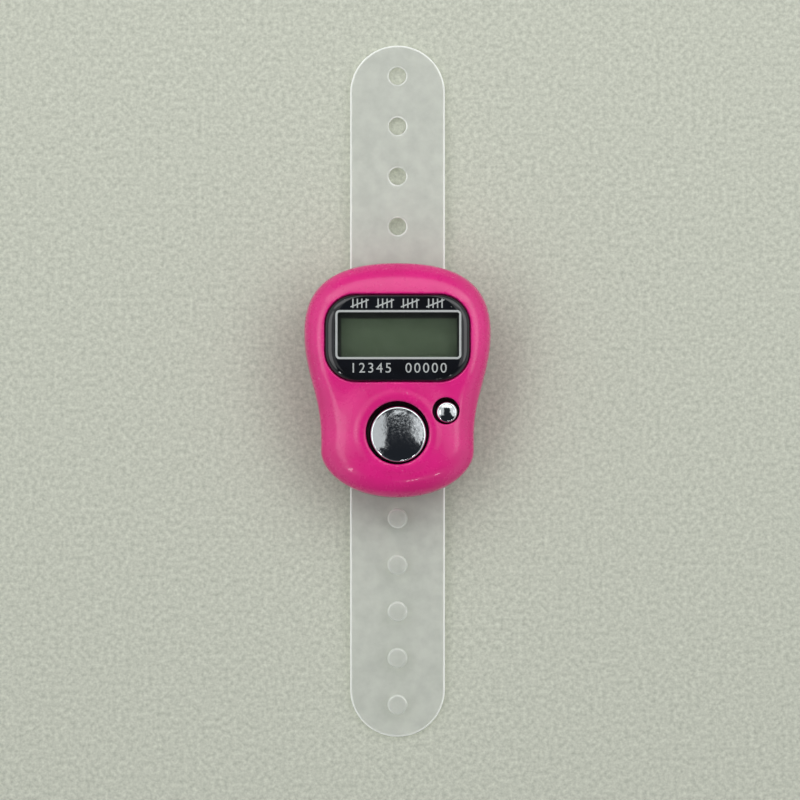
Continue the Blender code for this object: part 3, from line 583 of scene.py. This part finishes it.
def screwProfile():
    # a rounded mouth, the counterbore of the head and the hole of the shank
    size = coverSizes
    base = heights["base"]
    sink = base + size["screwSink"]
    mouth = [(size["screwHead"] + grow, base + rise) for grow, rise in size["mouth"]]
    return [(0, mouth[0][1])] + mouth + [
        (size["screwHead"], sink), (size["screwShank"], sink), (size["screwShank"], size["shankTop"]),
        (0, size["shankTop"])]


backCover = growDisc("backCover", coverRings())
carve(backCover, "UNION", joinAll(strapLoops() + atScrews("boss", coverSizes["boss"])))
carve(backCover, "DIFFERENCE", joinAll(atScrews("screwWell", screwProfile())))
finish(backCover, pinkAbs, "housing", ["back_cover"])
print("stage: back cover", len(backCover.data.polygons), "faces")


# Lens: black printed acrylic with a clear window, and the silver print

lensSizes = {
    "outside": (25.8, 15.4, 5.4), "middle": (0.0, 7.56), "shoulder": 2.2, "drop": 0.9,
    "edgeInset": 0.3, "edgeSteps": 12, "opening": (21.7, 8.0, 0.4), "openMiddle": (0.15, 8.14),
    "cutBetween": (12, 16), "pane": 0.3, "paneGap": 0.02, "chamfer": 0.1,
    "black": "#0F1013", "otherBlack": "#15171C", "dust": "#8E9089", "driftSize": 5.0, "dustSize": 0.55,
    "scratchSize": 0.5, "smooth": 0.04, "rough": 0.13, "waveSize": 2.4, "wave": 0.0007,
    "clear": "#FBFDFA", "smearSize": 4.0, "smear": 0.05, "refraction": 1.49,
}

printSizes = {
    "line": 0.38, "thick": 0.02, "silver": "#C3C6C4", "dullSilver": "#A9ADAC",
    "tallyMiddleY": 13.72, "tallyHeight": 1.65, "tallyGap": 0.8, "tallyStroke": 0.23,
    "tallyReach": 0.55, "tallyTilt": 0.38, "tallyRise": 0.4, "gatePlaces": (-6.75, -2.25, 2.25, 6.75),
    "signSize": 2.5, "signSpace": 1.25, "signY": 2.12, "signs": {"12345": -4.75, "00000": 5.1},
    "signSteps": 8, "lift": 0.004, "signLift": 0.01, "flakeSize": 0.12,
}


def backPrintedAcrylic(add, place, look):
    # cast acrylic printed black on its back: a deep black under a glassy skin with hairline scratches
    # and a little dust
    black = twoTones(add, place, look["driftSize"], (look["black"], look["otherBlack"]), 0.35)
    colour = dusted(add, place, black, look["dust"], look["dustSize"], 0.76, 0.35)
    drawn = add("Mapping", {"Vector": place, "Rotation": (0, 0, 0.5), "Scale": (0.15, 1.6, 1)})
    scratches = add("TexNoise", {
        "Vector": drawn, "Scale": perMm(look["scratchSize"]), "Detail": 4.0, "Roughness": 0.7})
    roughness = add("MapRange", {
        "Value": scratches, "From Min": 0.35, "From Max": 0.8,
        "To Min": look["smooth"], "To Max": look["rough"]})
    wave = add("TexNoise", {"Vector": place, "Scale": perMm(look["waveSize"])})
    ripple = add("Bump", {"Height": wave, "Distance": look["wave"] * mm})
    return add("BsdfPrincipled", {
        "Base Color": colour, "Roughness": roughness, "Normal": ripple, "IOR": look["refraction"]})


def clearAcrylic(add, place, look):
    # the unprinted part of the lens: clear acrylic, faintly smeared, that lets the lamps through
    # to the display
    smear = add("TexNoise", {"Vector": place, "Scale": perMm(look["smearSize"]), "Detail": 3.0})
    roughness = add("MapRange", {"Value": smear, **noiseSpan, "To Max": look["smear"]})
    clear = add("BsdfPrincipled", {
        "Base Color": look["clear"], "Roughness": roughness, "IOR": look["refraction"],
        "Transmission Weight": 1.0})
    passing = add("BsdfTransparent", {"Color": look["clear"]})
    path = add("LightPath")
    return add("MixShader", {0: path.outputs["Is Shadow Ray"], 1: clear, 2: passing})


def silverInk(add, place, look):
    # screen-printed silver ink behind the lens: flakes that glint a little, under the lens's own gloss
    flakes = add("TexVoronoi", {"Vector": place, "Scale": perMm(look["flakeSize"])})
    glint = add("MapRange", {"Value": flakes, "From Max": 0.7})
    colour = add("Mix", {0: glint, 6: look["silver"], 7: look["dullSilver"]}, data_type="RGBA")
    roughness = add("MapRange", {"Value": glint, "To Min": 0.35, "To Max": 0.55})
    return add("BsdfPrincipled", {
        "Base Color": colour, "Roughness": roughness, "Metallic": 0.35,
        "Coat Weight": 1.0, "Coat Roughness": 0.05})


def lensDrop(x):
    # the lens arches down at its left and right ends, as a quarter ellipse
    size = lensSizes
    past = 1 - (size["outside"][0] / 2 - abs(x - size["middle"][0])) / size["shoulder"]
    return size["drop"] * (1 - sqrt(1 - min(1, max(0, past)) ** 2))


def lensRings():
    size = lensSizes
    rings = [roundedRing(size["outside"], size["middle"], heights["lens"], -size["chamfer"]),
             roundedRing(size["outside"], size["middle"], heights["lens"] + size["chamfer"])]
    length, width, corner = size["outside"]
    for share, up in quarterTurn(size["edgeSteps"]):
        inset = size["edgeInset"] * share
        plan = (length - 2 * size["shoulder"] * share, width - 2 * inset, corner - inset)
        rings.append(roundedRing(plan, size["middle"], heights["lensTop"] - size["drop"] * (1 - up)))
    return rings


def openingRing(grow, level):
    return roundedRing(lensSizes["opening"], lensSizes["openMiddle"], level, grow)


def borderRings(line, low, thick):
    # round the section of the line and back to its start
    onLens = [lambda x, y, rise=rise: low + rise - lensDrop(x) for rise in (0, thick)]
    section = ((line, 0), (line, 1), (0, 1), (0, 0), (line, 0))
    return [openingRing(grow, onLens[side]) for grow, side in section]


def copyMoved(piece, x):
    focus(piece)
    bpy.ops.object.duplicate()
    twin = bpy.context.object
    twin.location = (x * mm, 0, 0)
    applyPlace()
    return twin


def tallyGate(level):
    # four strokes and one across, as rows are tallied on paper
    size = printSizes
    half, thick, middle = size["tallyStroke"] / 2, size["thick"], size["tallyMiddleY"]
    tall = size["tallyHeight"] / 2
    start = -1.5 * size["tallyGap"]
    end = start - size["tallyReach"]
    stroke = block("stroke", (start - half, middle - tall, level),
                   (start + half, middle + tall, level + thick))
    strokes = [stroke] + [copyMoved(stroke, size["tallyGap"] * i) for i in (1, 2, 3)]
    across = block("across", (end, middle - half, level + thick * size["tallyRise"]),
                   (-end, middle + half, level + thick * (1 + size["tallyRise"])))
    editAll(across)
    bpy.ops.transform.rotate(value=-size["tallyTilt"], orient_axis="Z",
                             center_override=at(0, middle, level))
    bpy.ops.object.mode_set(mode="OBJECT")
    return joinAll(strokes + [across])


def sign(text, x, y, level):
    clearSelection()
    bpy.ops.object.text_add(location=at(x, y, level))
    piece = bpy.context.object
    piece.data.body = text
    piece.data.size = printSizes["signSize"] * mm
    piece.data.space_character = printSizes["signSpace"]
    piece.data.align_x = piece.data.align_y = "CENTER"
    piece.data.extrude = printSizes["thick"] / 2 * mm
    piece.data.resolution_u = printSizes["signSteps"]
    bpy.ops.object.convert(target="MESH")
    applyPlace()
    return bpy.context.object


lensBody = growDisc("lensBody", lensRings())
opening = growDisc("opening", [openingRing(0, level) for level in lensSizes["cutBetween"]])
carve(lensBody, "DIFFERENCE", opening)
finish(lensBody, paint(backPrintedAcrylic, lensSizes), "housing", ["lens_window"],
       angle=40)

paneTop = heights["lensTop"]
windowPane = growDisc("windowPane", [openingRing(-lensSizes["paneGap"], level)
                                     for level in (paneTop - lensSizes["pane"], paneTop)])
finish(windowPane, paint(clearAcrylic, lensSizes), "housing", angle=30)

printLevel = heights["lensTop"] + printSizes["lift"]
border = growDisc("lensPrint", borderRings(printSizes["line"], printLevel, printSizes["thick"]),
                  closeSeams=True)
firstGate = tallyGate(printLevel)
gates = [copyMoved(firstGate, x) for x in printSizes["gatePlaces"]]
bpy.data.objects.remove(firstGate)
signs = [sign(text, x, printSizes["signY"], printLevel + printSizes["signLift"])
         for text, x in printSizes["signs"].items()]
lensPrint = joinAll([border] + gates + signs)
finish(lensPrint, paint(silverInk, printSizes), "housing", angle=30)
print("stage: lens and print")


# Plated buttons

buttonSizes = {
    "count": {"middle": (0.15, -9.6), "cap": 5.0, "flange": 6.15, "top": 14.894, "round": 0.45,
              "dome": 0.45, "steps": 128},
    "reset": {"middle": (8.8, -5.7), "cap": 1.86, "flange": 2.91,
              "top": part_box("reset_button")[1].z / mm, "round": 0.4, "dome": 0.22, "steps": 96},
}
capShape = {"flange": 0.9, "chamfer": 0.1, "roundSteps": 10, "domeSteps": 10}

chromeLook = {
    "bright": "#CDD2D4", "dull": "#A3A8AB", "smooth": 0.07, "hazy": 0.38, "smudgeSize": 0.42,
    "smudgeMiddle": (1.3, -7.7), "smudgeFrom": 5.8, "smudgeTo": 0.8, "smudgeLeast": 0.12,
    "dentSize": 1.2, "dent": 0.036, "pitSize": 0.36, "pit": 0.0035,
    "bare": "#0E0D0F", "bareBelow": 12.3, "platedFrom": 12.45,
}


def chromePlate(add, place, look):
    # bright chrome over moulded plastic: a mirror with soft dents, small pits and the haze that
    # thumbs leave; low down, on the flange in the gap, painted shade: black and not metallic
    smudge = add("TexNoise", {
        "Vector": place, "Scale": perMm(look["smudgeSize"]), "Detail": 4.0, "Roughness": 0.6,
        "Distortion": 0.6})
    smudge = add("MapRange", {"Value": smudge, "From Min": 0.36, "From Max": 0.76})
    fromThumb = add("VectorMath", {
        0: place, 1: at(*look["smudgeMiddle"], buttonSizes["count"]["top"])}, operation="DISTANCE")
    touched = add("MapRange", {
        "Value": fromThumb, "From Min": look["smudgeFrom"] * mm, "From Max": look["smudgeTo"] * mm,
        "To Min": look["smudgeLeast"]}, interpolation_type="SMOOTHSTEP")
    smudge = add("Math", {0: smudge, 1: touched}, operation="MULTIPLY")
    colour = add("Mix", {0: smudge, 6: look["bright"], 7: look["dull"]}, data_type="RGBA")
    roughness = add("MapRange", {"Value": smudge, "To Min": look["smooth"], "To Max": look["hazy"]})
    dents = add("TexNoise", {
        "Vector": place, "Scale": perMm(look["dentSize"]), "Roughness": 0.45})
    relief = add("Bump", {"Height": dents, "Distance": look["dent"] * mm})
    pits = add("TexNoise", {
        "Vector": place, "Scale": perMm(look["pitSize"]), "Detail": 3.0, "Roughness": 0.6})
    fine = add("Bump", {"Height": pits, "Normal": relief, "Distance": look["pit"] * mm})
    parts = add("SeparateXYZ", {"Vector": place}).outputs
    # painted shade: below this height the cap turns black and not metallic, for the dark gap round it
    plated = add("MapRange", {
        "Value": parts["Z"], "From Min": look["bareBelow"] * mm, "From Max": look["platedFrom"] * mm})
    covered = add("Mix", {0: plated, 6: look["bare"], 7: colour}, data_type="RGBA")
    return add("BsdfPrincipled", {
        "Base Color": covered, "Roughness": roughness, "Normal": fine, "Metallic": plated})


def capProfile(size):
    # the flange, the wall, the rounded brink and the domed top
    low, chamfer, rounding = heights["flange"], capShape["chamfer"], size["round"]
    flange, radius = size["flange"], size["cap"]
    shoulder = low + capShape["flange"]
    brink = size["top"] - size["dome"]
    profile = [(0, low), (flange - chamfer, low), (flange, low + chamfer), (flange, shoulder - chamfer),
               (flange - chamfer, shoulder), (radius, shoulder), (radius, brink - rounding)]
    profile += [(radius - rounding * inward, brink - rounding * (1 - up))
                for inward, up in quarterTurn(capShape["roundSteps"], 1)[:-1]]
    for step in range(capShape["domeSteps"], 0, -1):
        share = step / capShape["domeSteps"]
        profile.append(((radius - rounding) * share, size["top"] - size["dome"] * share ** 2))
    return profile + [(0, size["top"])]


chrome = paint(chromePlate, chromeLook)
for key, size in buttonSizes.items():
    cap = spinProfile(key + "Cap", capProfile(size), size["middle"], size["steps"])
    finish(cap, chrome, key + "_key", [key + "_button"], angle=50)
print("stage: buttons")


# Strap

strapSizes = {
    "length": 124.1, "width": 17.0, "thick": 1.0, "edge": 0.36, "edgeSteps": 8,
    "roundSteps": 32, "sideSteps": 72, "spotSteps": 48,
    "across": (1, 0.8, 0.6, 0.42, 0.26, 0.13),
    "holes": [56.55 - 9.0 * i for i in range(5)], "hole": 1.55, "holeRound": 0.18,
    "studs": [-56.25 + 8.36 * i for i in range(5)], "stem": 1.25, "head": 1.75,
    # a stud's outline: how far past the stem or the head, and how high over the strap
    "stemShape": ((0.5, -0.4), (0.42, 0.02), (0.2, 0.09), (0.06, 0.22), (0, 0.42), (0, 0.86),
                  (0.12, 0.98)),
    "headShape": ((-0.08, 1.04), (0, 1.16), (0, 1.62), (-0.04, 1.76), (-0.13, 1.88), (-0.26, 1.96),
                  (-0.4, 1.99), (-0.9, 2.0), (-1.45, 2.0)),
}

# the strap's white and the rows' glow are painted highlight along the edges and round the holes and
# studs
strapLook = {
    "milky": "#C8CAC4", "otherMilky": "#B9BCB6", "edgeWhite": "#F6F8F4", "passing": "#FDFEFB",
    "clearness": 0.42, "edgeClearness": 0.05, "shade": 0.045, "edgeBand": 0.4, "edgeFull": 0.08,
    "brokenSize": 2.1, "brokenLeast": 0.25, "cloudSize": 2.4,
    "grainSize": 0.3, "grain": 0.0012, "smooth": 0.3, "rough": 0.46,
    "holeRow": {"from": 16.0, "to": 16.2, "ring": 1.62, "band": 0.27, "glow": 0.85},
    "studRow": {"from": -17.8, "to": -18.0, "ring": 1.66, "band": 0.24, "glow": 0.5},
}


def strapLift(y):
    # flat in the loops, then sagging like a thin beam until the tips rest on the table
    upper, lower = [place + middleY for place in coverSizes["loopPlaces"]]
    reach, tip = coverSizes["loopLength"] / 2, strapSizes["length"] / 2
    if y > upper:
        share = max(0.0, y - upper - reach) / (tip - upper - reach)
    else:
        share = max(0.0, lower - reach - y) / (lower - reach + tip)
    return heights["strap"] * (1 - share * share * (6 - 4 * share + share * share) / 3)


def stadiumRing(inset, rise):
    # round the hole end and down the left side, then the same turned half way
    size = strapSizes
    radius = size["width"] / 2 - inset
    straight = (size["length"] - size["width"]) / 2
    half = []
    for step in range(size["roundSteps"]):
        angle = pi * step / size["roundSteps"]
        half.append((radius * cos(angle), straight + radius * sin(angle)))
    for step in range(size["sideSteps"]):
        half.append((-radius, straight * (1 - 2 * step / size["sideSteps"])))
    half += [(-x, -y) for x, y in half]
    return [at(x, y - middleY, strapLift(y) + rise) for x, y in half]


def strapRings():
    size = strapSizes
    across = [size["width"] / 2 * share for share in size["across"]]
    edge = size["edge"]
    turn = [(edge * inward, edge * (1 - up)) for inward, up in quarterTurn(size["edgeSteps"])]
    rings = [stadiumRing(inset, 0) for inset in across]
    rings += [stadiumRing(drop, inward) for inward, drop in turn]
    rings += [stadiumRing(inward, size["thick"] - drop) for inward, drop in turn]
    return rings + [stadiumRing(inset, size["thick"]) for inset in reversed(across)]


def strapRound(radius, y, rise):
    return circleRing(radius, (0, y - middleY),
                      lambda across, along: strapLift(along + middleY) + rise,
                      strapSizes["spotSteps"])


def holeCutter(y):
    size = strapSizes
    steps = roundOver(size["holeRound"])
    rings = [strapRound(size["hole"] + grow, y, -drop) for grow, drop in reversed(steps)]
    rings += [strapRound(size["hole"] + grow, y, size["thick"] + drop) for grow, drop in steps]
    return growDisc("holeCutter", rings)


def snapStud(y):
    size = strapSizes
    rings = [strapRound(size[part] + past, y, size["thick"] + rise)
             for part in ("stem", "head") for past, rise in size[part + "Shape"]]
    return growDisc("snapStud", rings)


def frostedElastomer(add, place, look):
    # soft clear elastomer with a frosted skin: milky and half see-through, with painted highlights
    # along its edges and round its holes and studs, and lamps that mostly pass through it to the table
    size = strapSizes
    parts = add("SeparateXYZ", {"Vector": place}).outputs
    alongY = add("Math", {0: parts["Y"]}, operation="ABSOLUTE")
    beyond = add("Math", {0: alongY, 1: (size["length"] - size["width"]) / 2 * mm}, operation="SUBTRACT")
    beyond = add("Math", {0: beyond, 1: 0.0}, operation="MAXIMUM")
    beyond = add("CombineXYZ", {"X": parts["X"], "Y": beyond})
    fromSpine = add("VectorMath", {0: beyond}, operation="LENGTH")
    # painted highlight along the band's edges, whiter and less clear
    edge = add("MapRange", {
        "Value": fromSpine, "From Min": (size["width"] / 2 - look["edgeBand"]) * mm,
        "From Max": (size["width"] / 2 - look["edgeFull"]) * mm}, interpolation_type="SMOOTHSTEP")

    # a painted highlight ring round the nearest hole, and round the nearest stud, by rows that repeat
    # at their pitch; a noise breaks the rings up, so that they come and go
    broken = add("TexNoise", {"Vector": place, "Scale": perMm(look["brokenSize"])})
    broken = add("MapRange", {
        "Value": broken, "From Min": 0.35, "From Max": 0.6, "To Min": look["brokenLeast"]})
    glow = edge
    for places, row in ((size["holes"], look["holeRow"]), (size["studs"], look["studRow"])):
        pitch = abs(places[1] - places[0])
        along = add("Math", {0: (max(places) + pitch / 2) * mm, 1: parts["Y"]}, operation="SUBTRACT")
        along = add("Math", {0: along, 1: pitch * mm}, operation="MODULO")
        along = add("Math", {0: along, 1: pitch / 2 * mm}, operation="SUBTRACT")
        along = add("CombineXYZ", {"X": parts["X"], "Y": along})
        away = add("VectorMath", {0: along}, operation="LENGTH")
        away = add("Math", {0: away, 1: row["ring"] * mm}, operation="SUBTRACT")
        away = add("Math", {0: away}, operation="ABSOLUTE")
        ring = add("MapRange", {
            "Value": away, "From Min": row["band"] * mm, "From Max": 0.0, "To Max": row["glow"]},
            interpolation_type="SMOOTHSTEP")
        inRow = add("MapRange", {
            "Value": parts["Y"], "From Min": row["from"] * mm, "From Max": row["to"] * mm})
        ring = add("Math", {0: ring, 1: inRow}, operation="MULTIPLY")
        ring = add("Math", {0: ring, 1: broken}, operation="MULTIPLY")
        glow = add("Math", {0: glow, 1: ring}, operation="MAXIMUM")

    milky = twoTones(add, place, look["cloudSize"], (look["milky"], look["otherMilky"]), Detail=3.0)
    colour = add("Mix", {0: glow, 6: milky, 7: look["edgeWhite"]}, data_type="RGBA")
    frost = grained(add, place, look, Detail=3.0, Roughness=0.6)
    skin = add("BsdfPrincipled", {"Base Color": colour, **frost, "IOR": 1.45})
    passing = add("BsdfTransparent", {"Color": look["passing"]})
    share = add("MapRange", {
        "Value": glow, "To Min": look["clearness"], "To Max": look["edgeClearness"]})
    seen = add("MixShader", {0: share, 1: skin, 2: passing})
    shade = add("MixShader", {0: look["shade"], 1: passing, 2: skin})
    path = add("LightPath")
    return add("MixShader", {0: path.outputs["Is Shadow Ray"], 1: seen, 2: shade})


strapBand = growDisc("strapBand", strapRings(), closeSeams=True)
carve(strapBand, "DIFFERENCE", joinAll([holeCutter(y) for y in strapSizes["holes"]]))
carve(strapBand, "UNION", joinAll([snapStud(y) for y in strapSizes["studs"]]))
finish(strapBand, paint(frostedElastomer, strapLook), "strap_band", ["strap"],
       angle=40)
print("stage: strap", len(strapBand.data.polygons), "faces")


# Pieces inside, which keep their CAD solids

# the display's film tones, and the bands of painted shade along the top and the sides
displayLook = {
    "film": "#455240", "otherFilm": "#404D3B", "shaded": "#10140F", "topBand": 1.1, "leftBand": 0.65,
    "rightBand": 0.4, "fade": 0.18, "filmSize": 3.0,
    "grainSize": 0.2, "grain": 0.0003, "smooth": 0.28, "rough": 0.42,
}


def displayGlass(add, place, look):
    # an unpowered reflective display: olive polariser film over glass, clouded a little, with painted
    # shade along the top and the sides, where the print over it keeps the light out
    openX, openY = lensSizes["openMiddle"]
    length, width = lensSizes["opening"][:2]
    high = openY + middleY + width / 2 - look["topBand"]
    left = openX - length / 2 + look["leftBand"]
    right = openX + length / 2 - look["rightBand"]
    parts = add("SeparateXYZ", {"Vector": place}).outputs
    shaded = 0.0
    # painted shade in bands inside the top, the left and the right edges of the opening
    for axis, edge, way in (("Y", high, 1), ("X", left, -1), ("X", right, 1)):
        band = add("MapRange", {
            "Value": parts[axis], "From Min": (edge - way * look["fade"]) * mm,
            "From Max": (edge + way * look["fade"]) * mm}, interpolation_type="SMOOTHSTEP")
        shaded = add("Math", {0: shaded, 1: band}, operation="MAXIMUM")
    film = twoTones(add, place, look["filmSize"], (look["film"], look["otherFilm"]), 0.35, Detail=3.0)
    colour = add("Mix", {0: shaded, 6: film, 7: look["shaded"]}, data_type="RGBA")
    return add("BsdfPrincipled", {"Base Color": colour, **grained(add, place, look), "IOR": 1.5})


zebraLook = {"dark": "#2A1F22", "light": "#C98F97", "layer": 0.4, "rough": 0.7}


def stripedRubber(add, place, look):
    # elastomer connector: fine black and pink layers, drawn wide enough to be seen
    bands = add("TexWave", {"Vector": place, "Scale": perMm(look["layer"]) / 20 * pi},
                wave_type="BANDS", bands_direction="X")
    colour = add("Mix", {0: bands.outputs["Fac"], 6: look["dark"], 7: look["light"]}, data_type="RGBA")
    return add("BsdfPrincipled", {"Base Color": colour, "Roughness": look["rough"]})


boardLook = {
    "mask": "#1C5B30", "otherMask": "#1F6335", "overCopper": "#2F7A42", "weaveSize": 0.5, "runSize": 2.2,
    "straying": 0.35, "copper": 0.03, "rough": 0.35,
}


def solderMask(add, place, look):
    # glass-epoxy board under green solder mask: the weave shows faintly through, with copper runs
    # raised under it
    weave = add("TexChecker", {"Vector": place, "Scale": perMm(look["weaveSize"])})
    mask = add("Mix", {0: weave.outputs["Fac"], 6: look["mask"], 7: look["otherMask"]}, data_type="RGBA")
    runs = add("TexVoronoi", {
        "Vector": place, "Scale": perMm(look["runSize"]), "Randomness": look["straying"]},
        distance="MANHATTAN")
    copper = add("MapRange", {"Value": runs, "From Min": 0.42, "From Max": 0.46})
    colour = add("Mix", {0: copper, 6: mask, 7: look["overCopper"]}, data_type="RGBA")
    relief = add("Bump", {"Height": copper, "Distance": look["copper"] * mm})
    return add("BsdfPrincipled", {
        "Base Color": colour, "Roughness": look["rough"], "Normal": relief, "IOR": 1.55})


# plain mottled finishes, by the words in the nodes' names
innerFields = ("name", "tone", "otherTone", "toneSize", "grainSize", "smooth", "rough", "grain", "more")
innerLooks = {
    "lens_tape": ("foamTape", "#1B1B1B", "#232323", 2.0, 0.15, 0.75, 0.9, 0.01, {}),
    "lcd_reflector": ("satinSilverFilm", "#BFC2B8", "#B2B6AB", 3.0, 0.1, 0.3, 0.42, 0.0005, {}),
    "chip_blob": ("castBlackEpoxy", "#121212", "#1A1A1B", 2.0, 0.5, 0.2, 0.4, 0.004, {"IOR": 1.55}),
    "chip_resistor": ("castBlackEpoxy", "#121212", "#1A1A1B", 1.0, 0.2, 0.3, 0.5, 0.002, {"IOR": 1.55}),
    "chip_capacitor": ("firedCeramic", "#AA8C68", "#9C7F5C", 0.6, 0.1, 0.4, 0.6, 0.001, {"IOR": 1.6}),
    "battery_cell": ("nickelPlate", "#DAD8D2", "#C9C7C0", 2.5, 0.3, 0.16, 0.32, 0.0006, {"Metallic": 1}),
    "battery_contact": ("nickelPlatedSpring", "#D6D4CD", "#C2BFB7", 1.2, 0.2, 0.2, 0.38, 0.0008,
                        {"Metallic": 1}),
    "dome": ("silicone", "#B9BABA", "#ADAEAE", 1.5, 0.15, 0.5, 0.7, 0.001, {"IOR": 1.41}),
    "pill": ("carbonRubber", "#1A1A1A", "#252525", 0.5, 0.1, 0.6, 0.8, 0.002, {}),
    "screw": ("zincPlate", "#CFCFCB", "#B9BABA", 0.7, 0.12, 0.22, 0.42, 0.001, {"Metallic": 1}),
}

innerMaterials = {key: paint(mottled, dict(zip(innerFields, row))) for key, row in innerLooks.items()}
innerMaterials["lcd_panel"] = paint(displayGlass, displayLook)
innerMaterials["zebra_strip"] = paint(stripedRubber, zebraLook)
innerMaterials["circuit_board"] = paint(solderMask, boardLook)

for node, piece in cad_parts.items():
    for key, made in innerMaterials.items():
        if key in node:
            piece.data.materials.clear()
            piece.data.materials.append(made)

domeSizes = {
    "low": 8.95, "top": 10.95, "skin": 0.5, "foot": 0.7, "slope": 1.3, "round": 0.12, "steps": 64,
    "radius": {"count": 4.6, "reset": 2.7}, "keep": {"count": 0.59, "reset": 0.69},
}


def domeProfile(radius):
    # a foot on the board, a sloping wall and a flat top, hollow inside
    low, top, skin, rounding = (domeSizes[key] for key in ("low", "top", "skin", "round"))
    plateau = radius - domeSizes["slope"]
    hollow = radius - domeSizes["foot"]
    return [(0, top - skin), (plateau - skin / 2 - rounding, top - skin),
            (plateau - skin / 2, top - skin - rounding), (hollow, low + skin), (hollow, low),
            (radius - rounding, low), (radius, low + rounding), (radius, low + skin - rounding),
            (radius - rounding, low + skin), (plateau + rounding / 2, top - rounding),
            (plateau - rounding, top), (0, top)]


# a rubber dome under each button, modelled at rest
for key, radius in domeSizes["radius"].items():
    dome = spinProfile(key + "Dome", domeProfile(radius), buttonSizes[key]["middle"],
                       domeSizes["steps"])
    finish(dome, innerMaterials["dome"], "housing", [key + "_dome"])
    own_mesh(dome)

# the tape's inner edge is turned down round the display, which keeps the case's colour out of it
gasketSizes = {
    "outside": (22.56, 8.86, 0.78), "inside": (22.2, 8.4, 0.6), "low": 11.96, "high": 13.06,
    "section": (("outside", "low"), ("outside", "high"), ("inside", "high"), ("inside", "low"),
                ("outside", "low")),
}


def gasketRings():
    size = gasketSizes
    return [roundedRing(size[side], frontSizes["windowMiddle"], size[level])
            for side, level in size["section"]]


displayGasket = growDisc("displayGasket", gasketRings(), closeSeams=True)
finish(displayGasket, innerMaterials["lens_tape"], "housing", angle=30)
print("stage: inner materials, domes and gasket")


# Floor, world and lamps

studio = {
    "floor": "#CBCEC0", "otherFloor": "#A4A79B", "fleckSize": 0.8, "floorSize": 6000.0,
    "backdrop": "#BEC2B4", "fadeFrom": 130.0, "fadeTo": 420.0,
    "sunk": 0.02, "zenith": "#272A30", "ends": "#6A6E70", "sides": "#F4F7F8", "strength": 0.93,
}

# azimuth, clockwise from the strap's hole end; tilt, from straight up; distance, width and height;
# radiance, 1 for white; how far the lamp is slid north; shape
panels = {
    "northPanel": (0, 40, 550, 943, 411, 1.5, 0, "ELLIPSE"),
    "westPanel": (-90, 32, 1100, 1150, 822, 0.72, 320, "RECTANGLE"),
    "westWindow": (-90, 37, 1000, 800, 400, 1.6, -60, "ELLIPSE"),
    "eastPanel": (90, 35, 1100, 1300, 900, 0.78, 300, "ELLIPSE"),
    "eastWindow": (90, 40, 1000, 700, 360, 1.4, 80, "ELLIPSE"),
    "westLamp": (-137, 46, 1100, 70, 200, 12.0, 0, "ELLIPSE"),
    "southLamp": (168, 40, 1100, 170, 50, 12.0, 0, "ELLIPSE"),
    "eastLamp": (147, 46, 1100, 60, 90, 12.0, 0, "ELLIPSE"),
}


def paleFelt(add, place, look):
    # pale felt: matt, with a faint fleck that keeps it from looking painted; far off it turns into
    # the backdrop's colour, so that no horizon shows
    colour = twoTones(add, place, look["fleckSize"], (look["floor"], look["otherFloor"]),
                      Detail=4.0, Roughness=0.72)
    felt = add("BsdfPrincipled", {
        "Base Color": colour, "Roughness": 0.95, "Specular IOR Level": 0.1})
    away = add("VectorMath", {0: place}, operation="LENGTH")
    far = add("MapRange", {
        "Value": away, "From Min": look["fadeFrom"] * mm, "From Max": look["fadeTo"] * mm},
        interpolation_type="SMOOTHSTEP")
    path = add("LightPath")
    faded = add("Math", {0: far, 1: path.outputs["Is Camera Ray"]}, operation="MULTIPLY")
    plain = add("Emission", {"Color": look["backdrop"], "Strength": 1.0})
    return add("MixShader", {0: faded, 1: felt, 2: plain})


clearSelection()
bpy.ops.mesh.primitive_plane_add(size=studio["floorSize"] * mm, location=(0, 0, -studio["sunk"] * mm))
floor = bpy.context.object
floor.name = "floor"
applyPlace()
floor.data.materials.append(paint(paleFelt, studio))

for name, (azimuth, tilt, distance, width, height, radiance, north, shape) in panels.items():
    tilt, azimuth = radians(tilt), radians(azimuth)
    direction = Vector((sin(tilt) * sin(azimuth), sin(tilt) * cos(azimuth), cos(tilt)))
    bpy.ops.object.light_add(type="AREA", location=direction * distance * mm)
    lamp = bpy.context.object
    lamp.name = name
    lamp.rotation_euler = direction.to_track_quat("Z", "Y").to_euler()
    lamp.location.y += north * mm
    lamp.data.shape = shape
    lamp.data.size = width * mm
    lamp.data.size_y = height * mm
    lamp.data.energy = radiance * pi * width * height * mm * mm
    lamp.visible_camera = False

# the room is dark overhead, where the camera hangs, and brightest low down at either side
world = bpy.context.scene.world or bpy.data.worlds.new("studioWorld")
bpy.context.scene.world = world
world.use_nodes = True
world.node_tree.nodes.clear()
add = partial(addNode, world.node_tree)
facing = add("TexCoord")
parts = add("SeparateXYZ", {"Vector": facing.outputs["Generated"]}).outputs
high = add("MapRange", {"Value": parts["Z"], "From Min": 0.4, "From Max": 0.85},
           interpolation_type="SMOOTHSTEP")
sideways = add("Math", {0: parts["X"]}, operation="ABSOLUTE")
sideways = add("MapRange", {"Value": sideways, "From Min": 0.25, "From Max": 0.8},
               interpolation_type="SMOOTHSTEP")
walls = add("Mix", {0: sideways, 6: studio["ends"], 7: studio["sides"]}, data_type="RGBA")
walls = add("Mix", {0: high, 6: walls, 7: studio["zenith"]}, data_type="RGBA")
lit = add("Background", {"Color": walls, "Strength": studio["strength"]})
plain = add("Background", {"Color": studio["backdrop"], "Strength": 1.0})
path = add("LightPath")
seen = add("MixShader", {0: path.outputs["Is Camera Ray"], 1: lit, 2: plain})
add("OutputWorld", {"Surface": seen})

bpy.context.scene.view_settings.view_transform = "Standard"
print("stage: studio")

clearSelection()
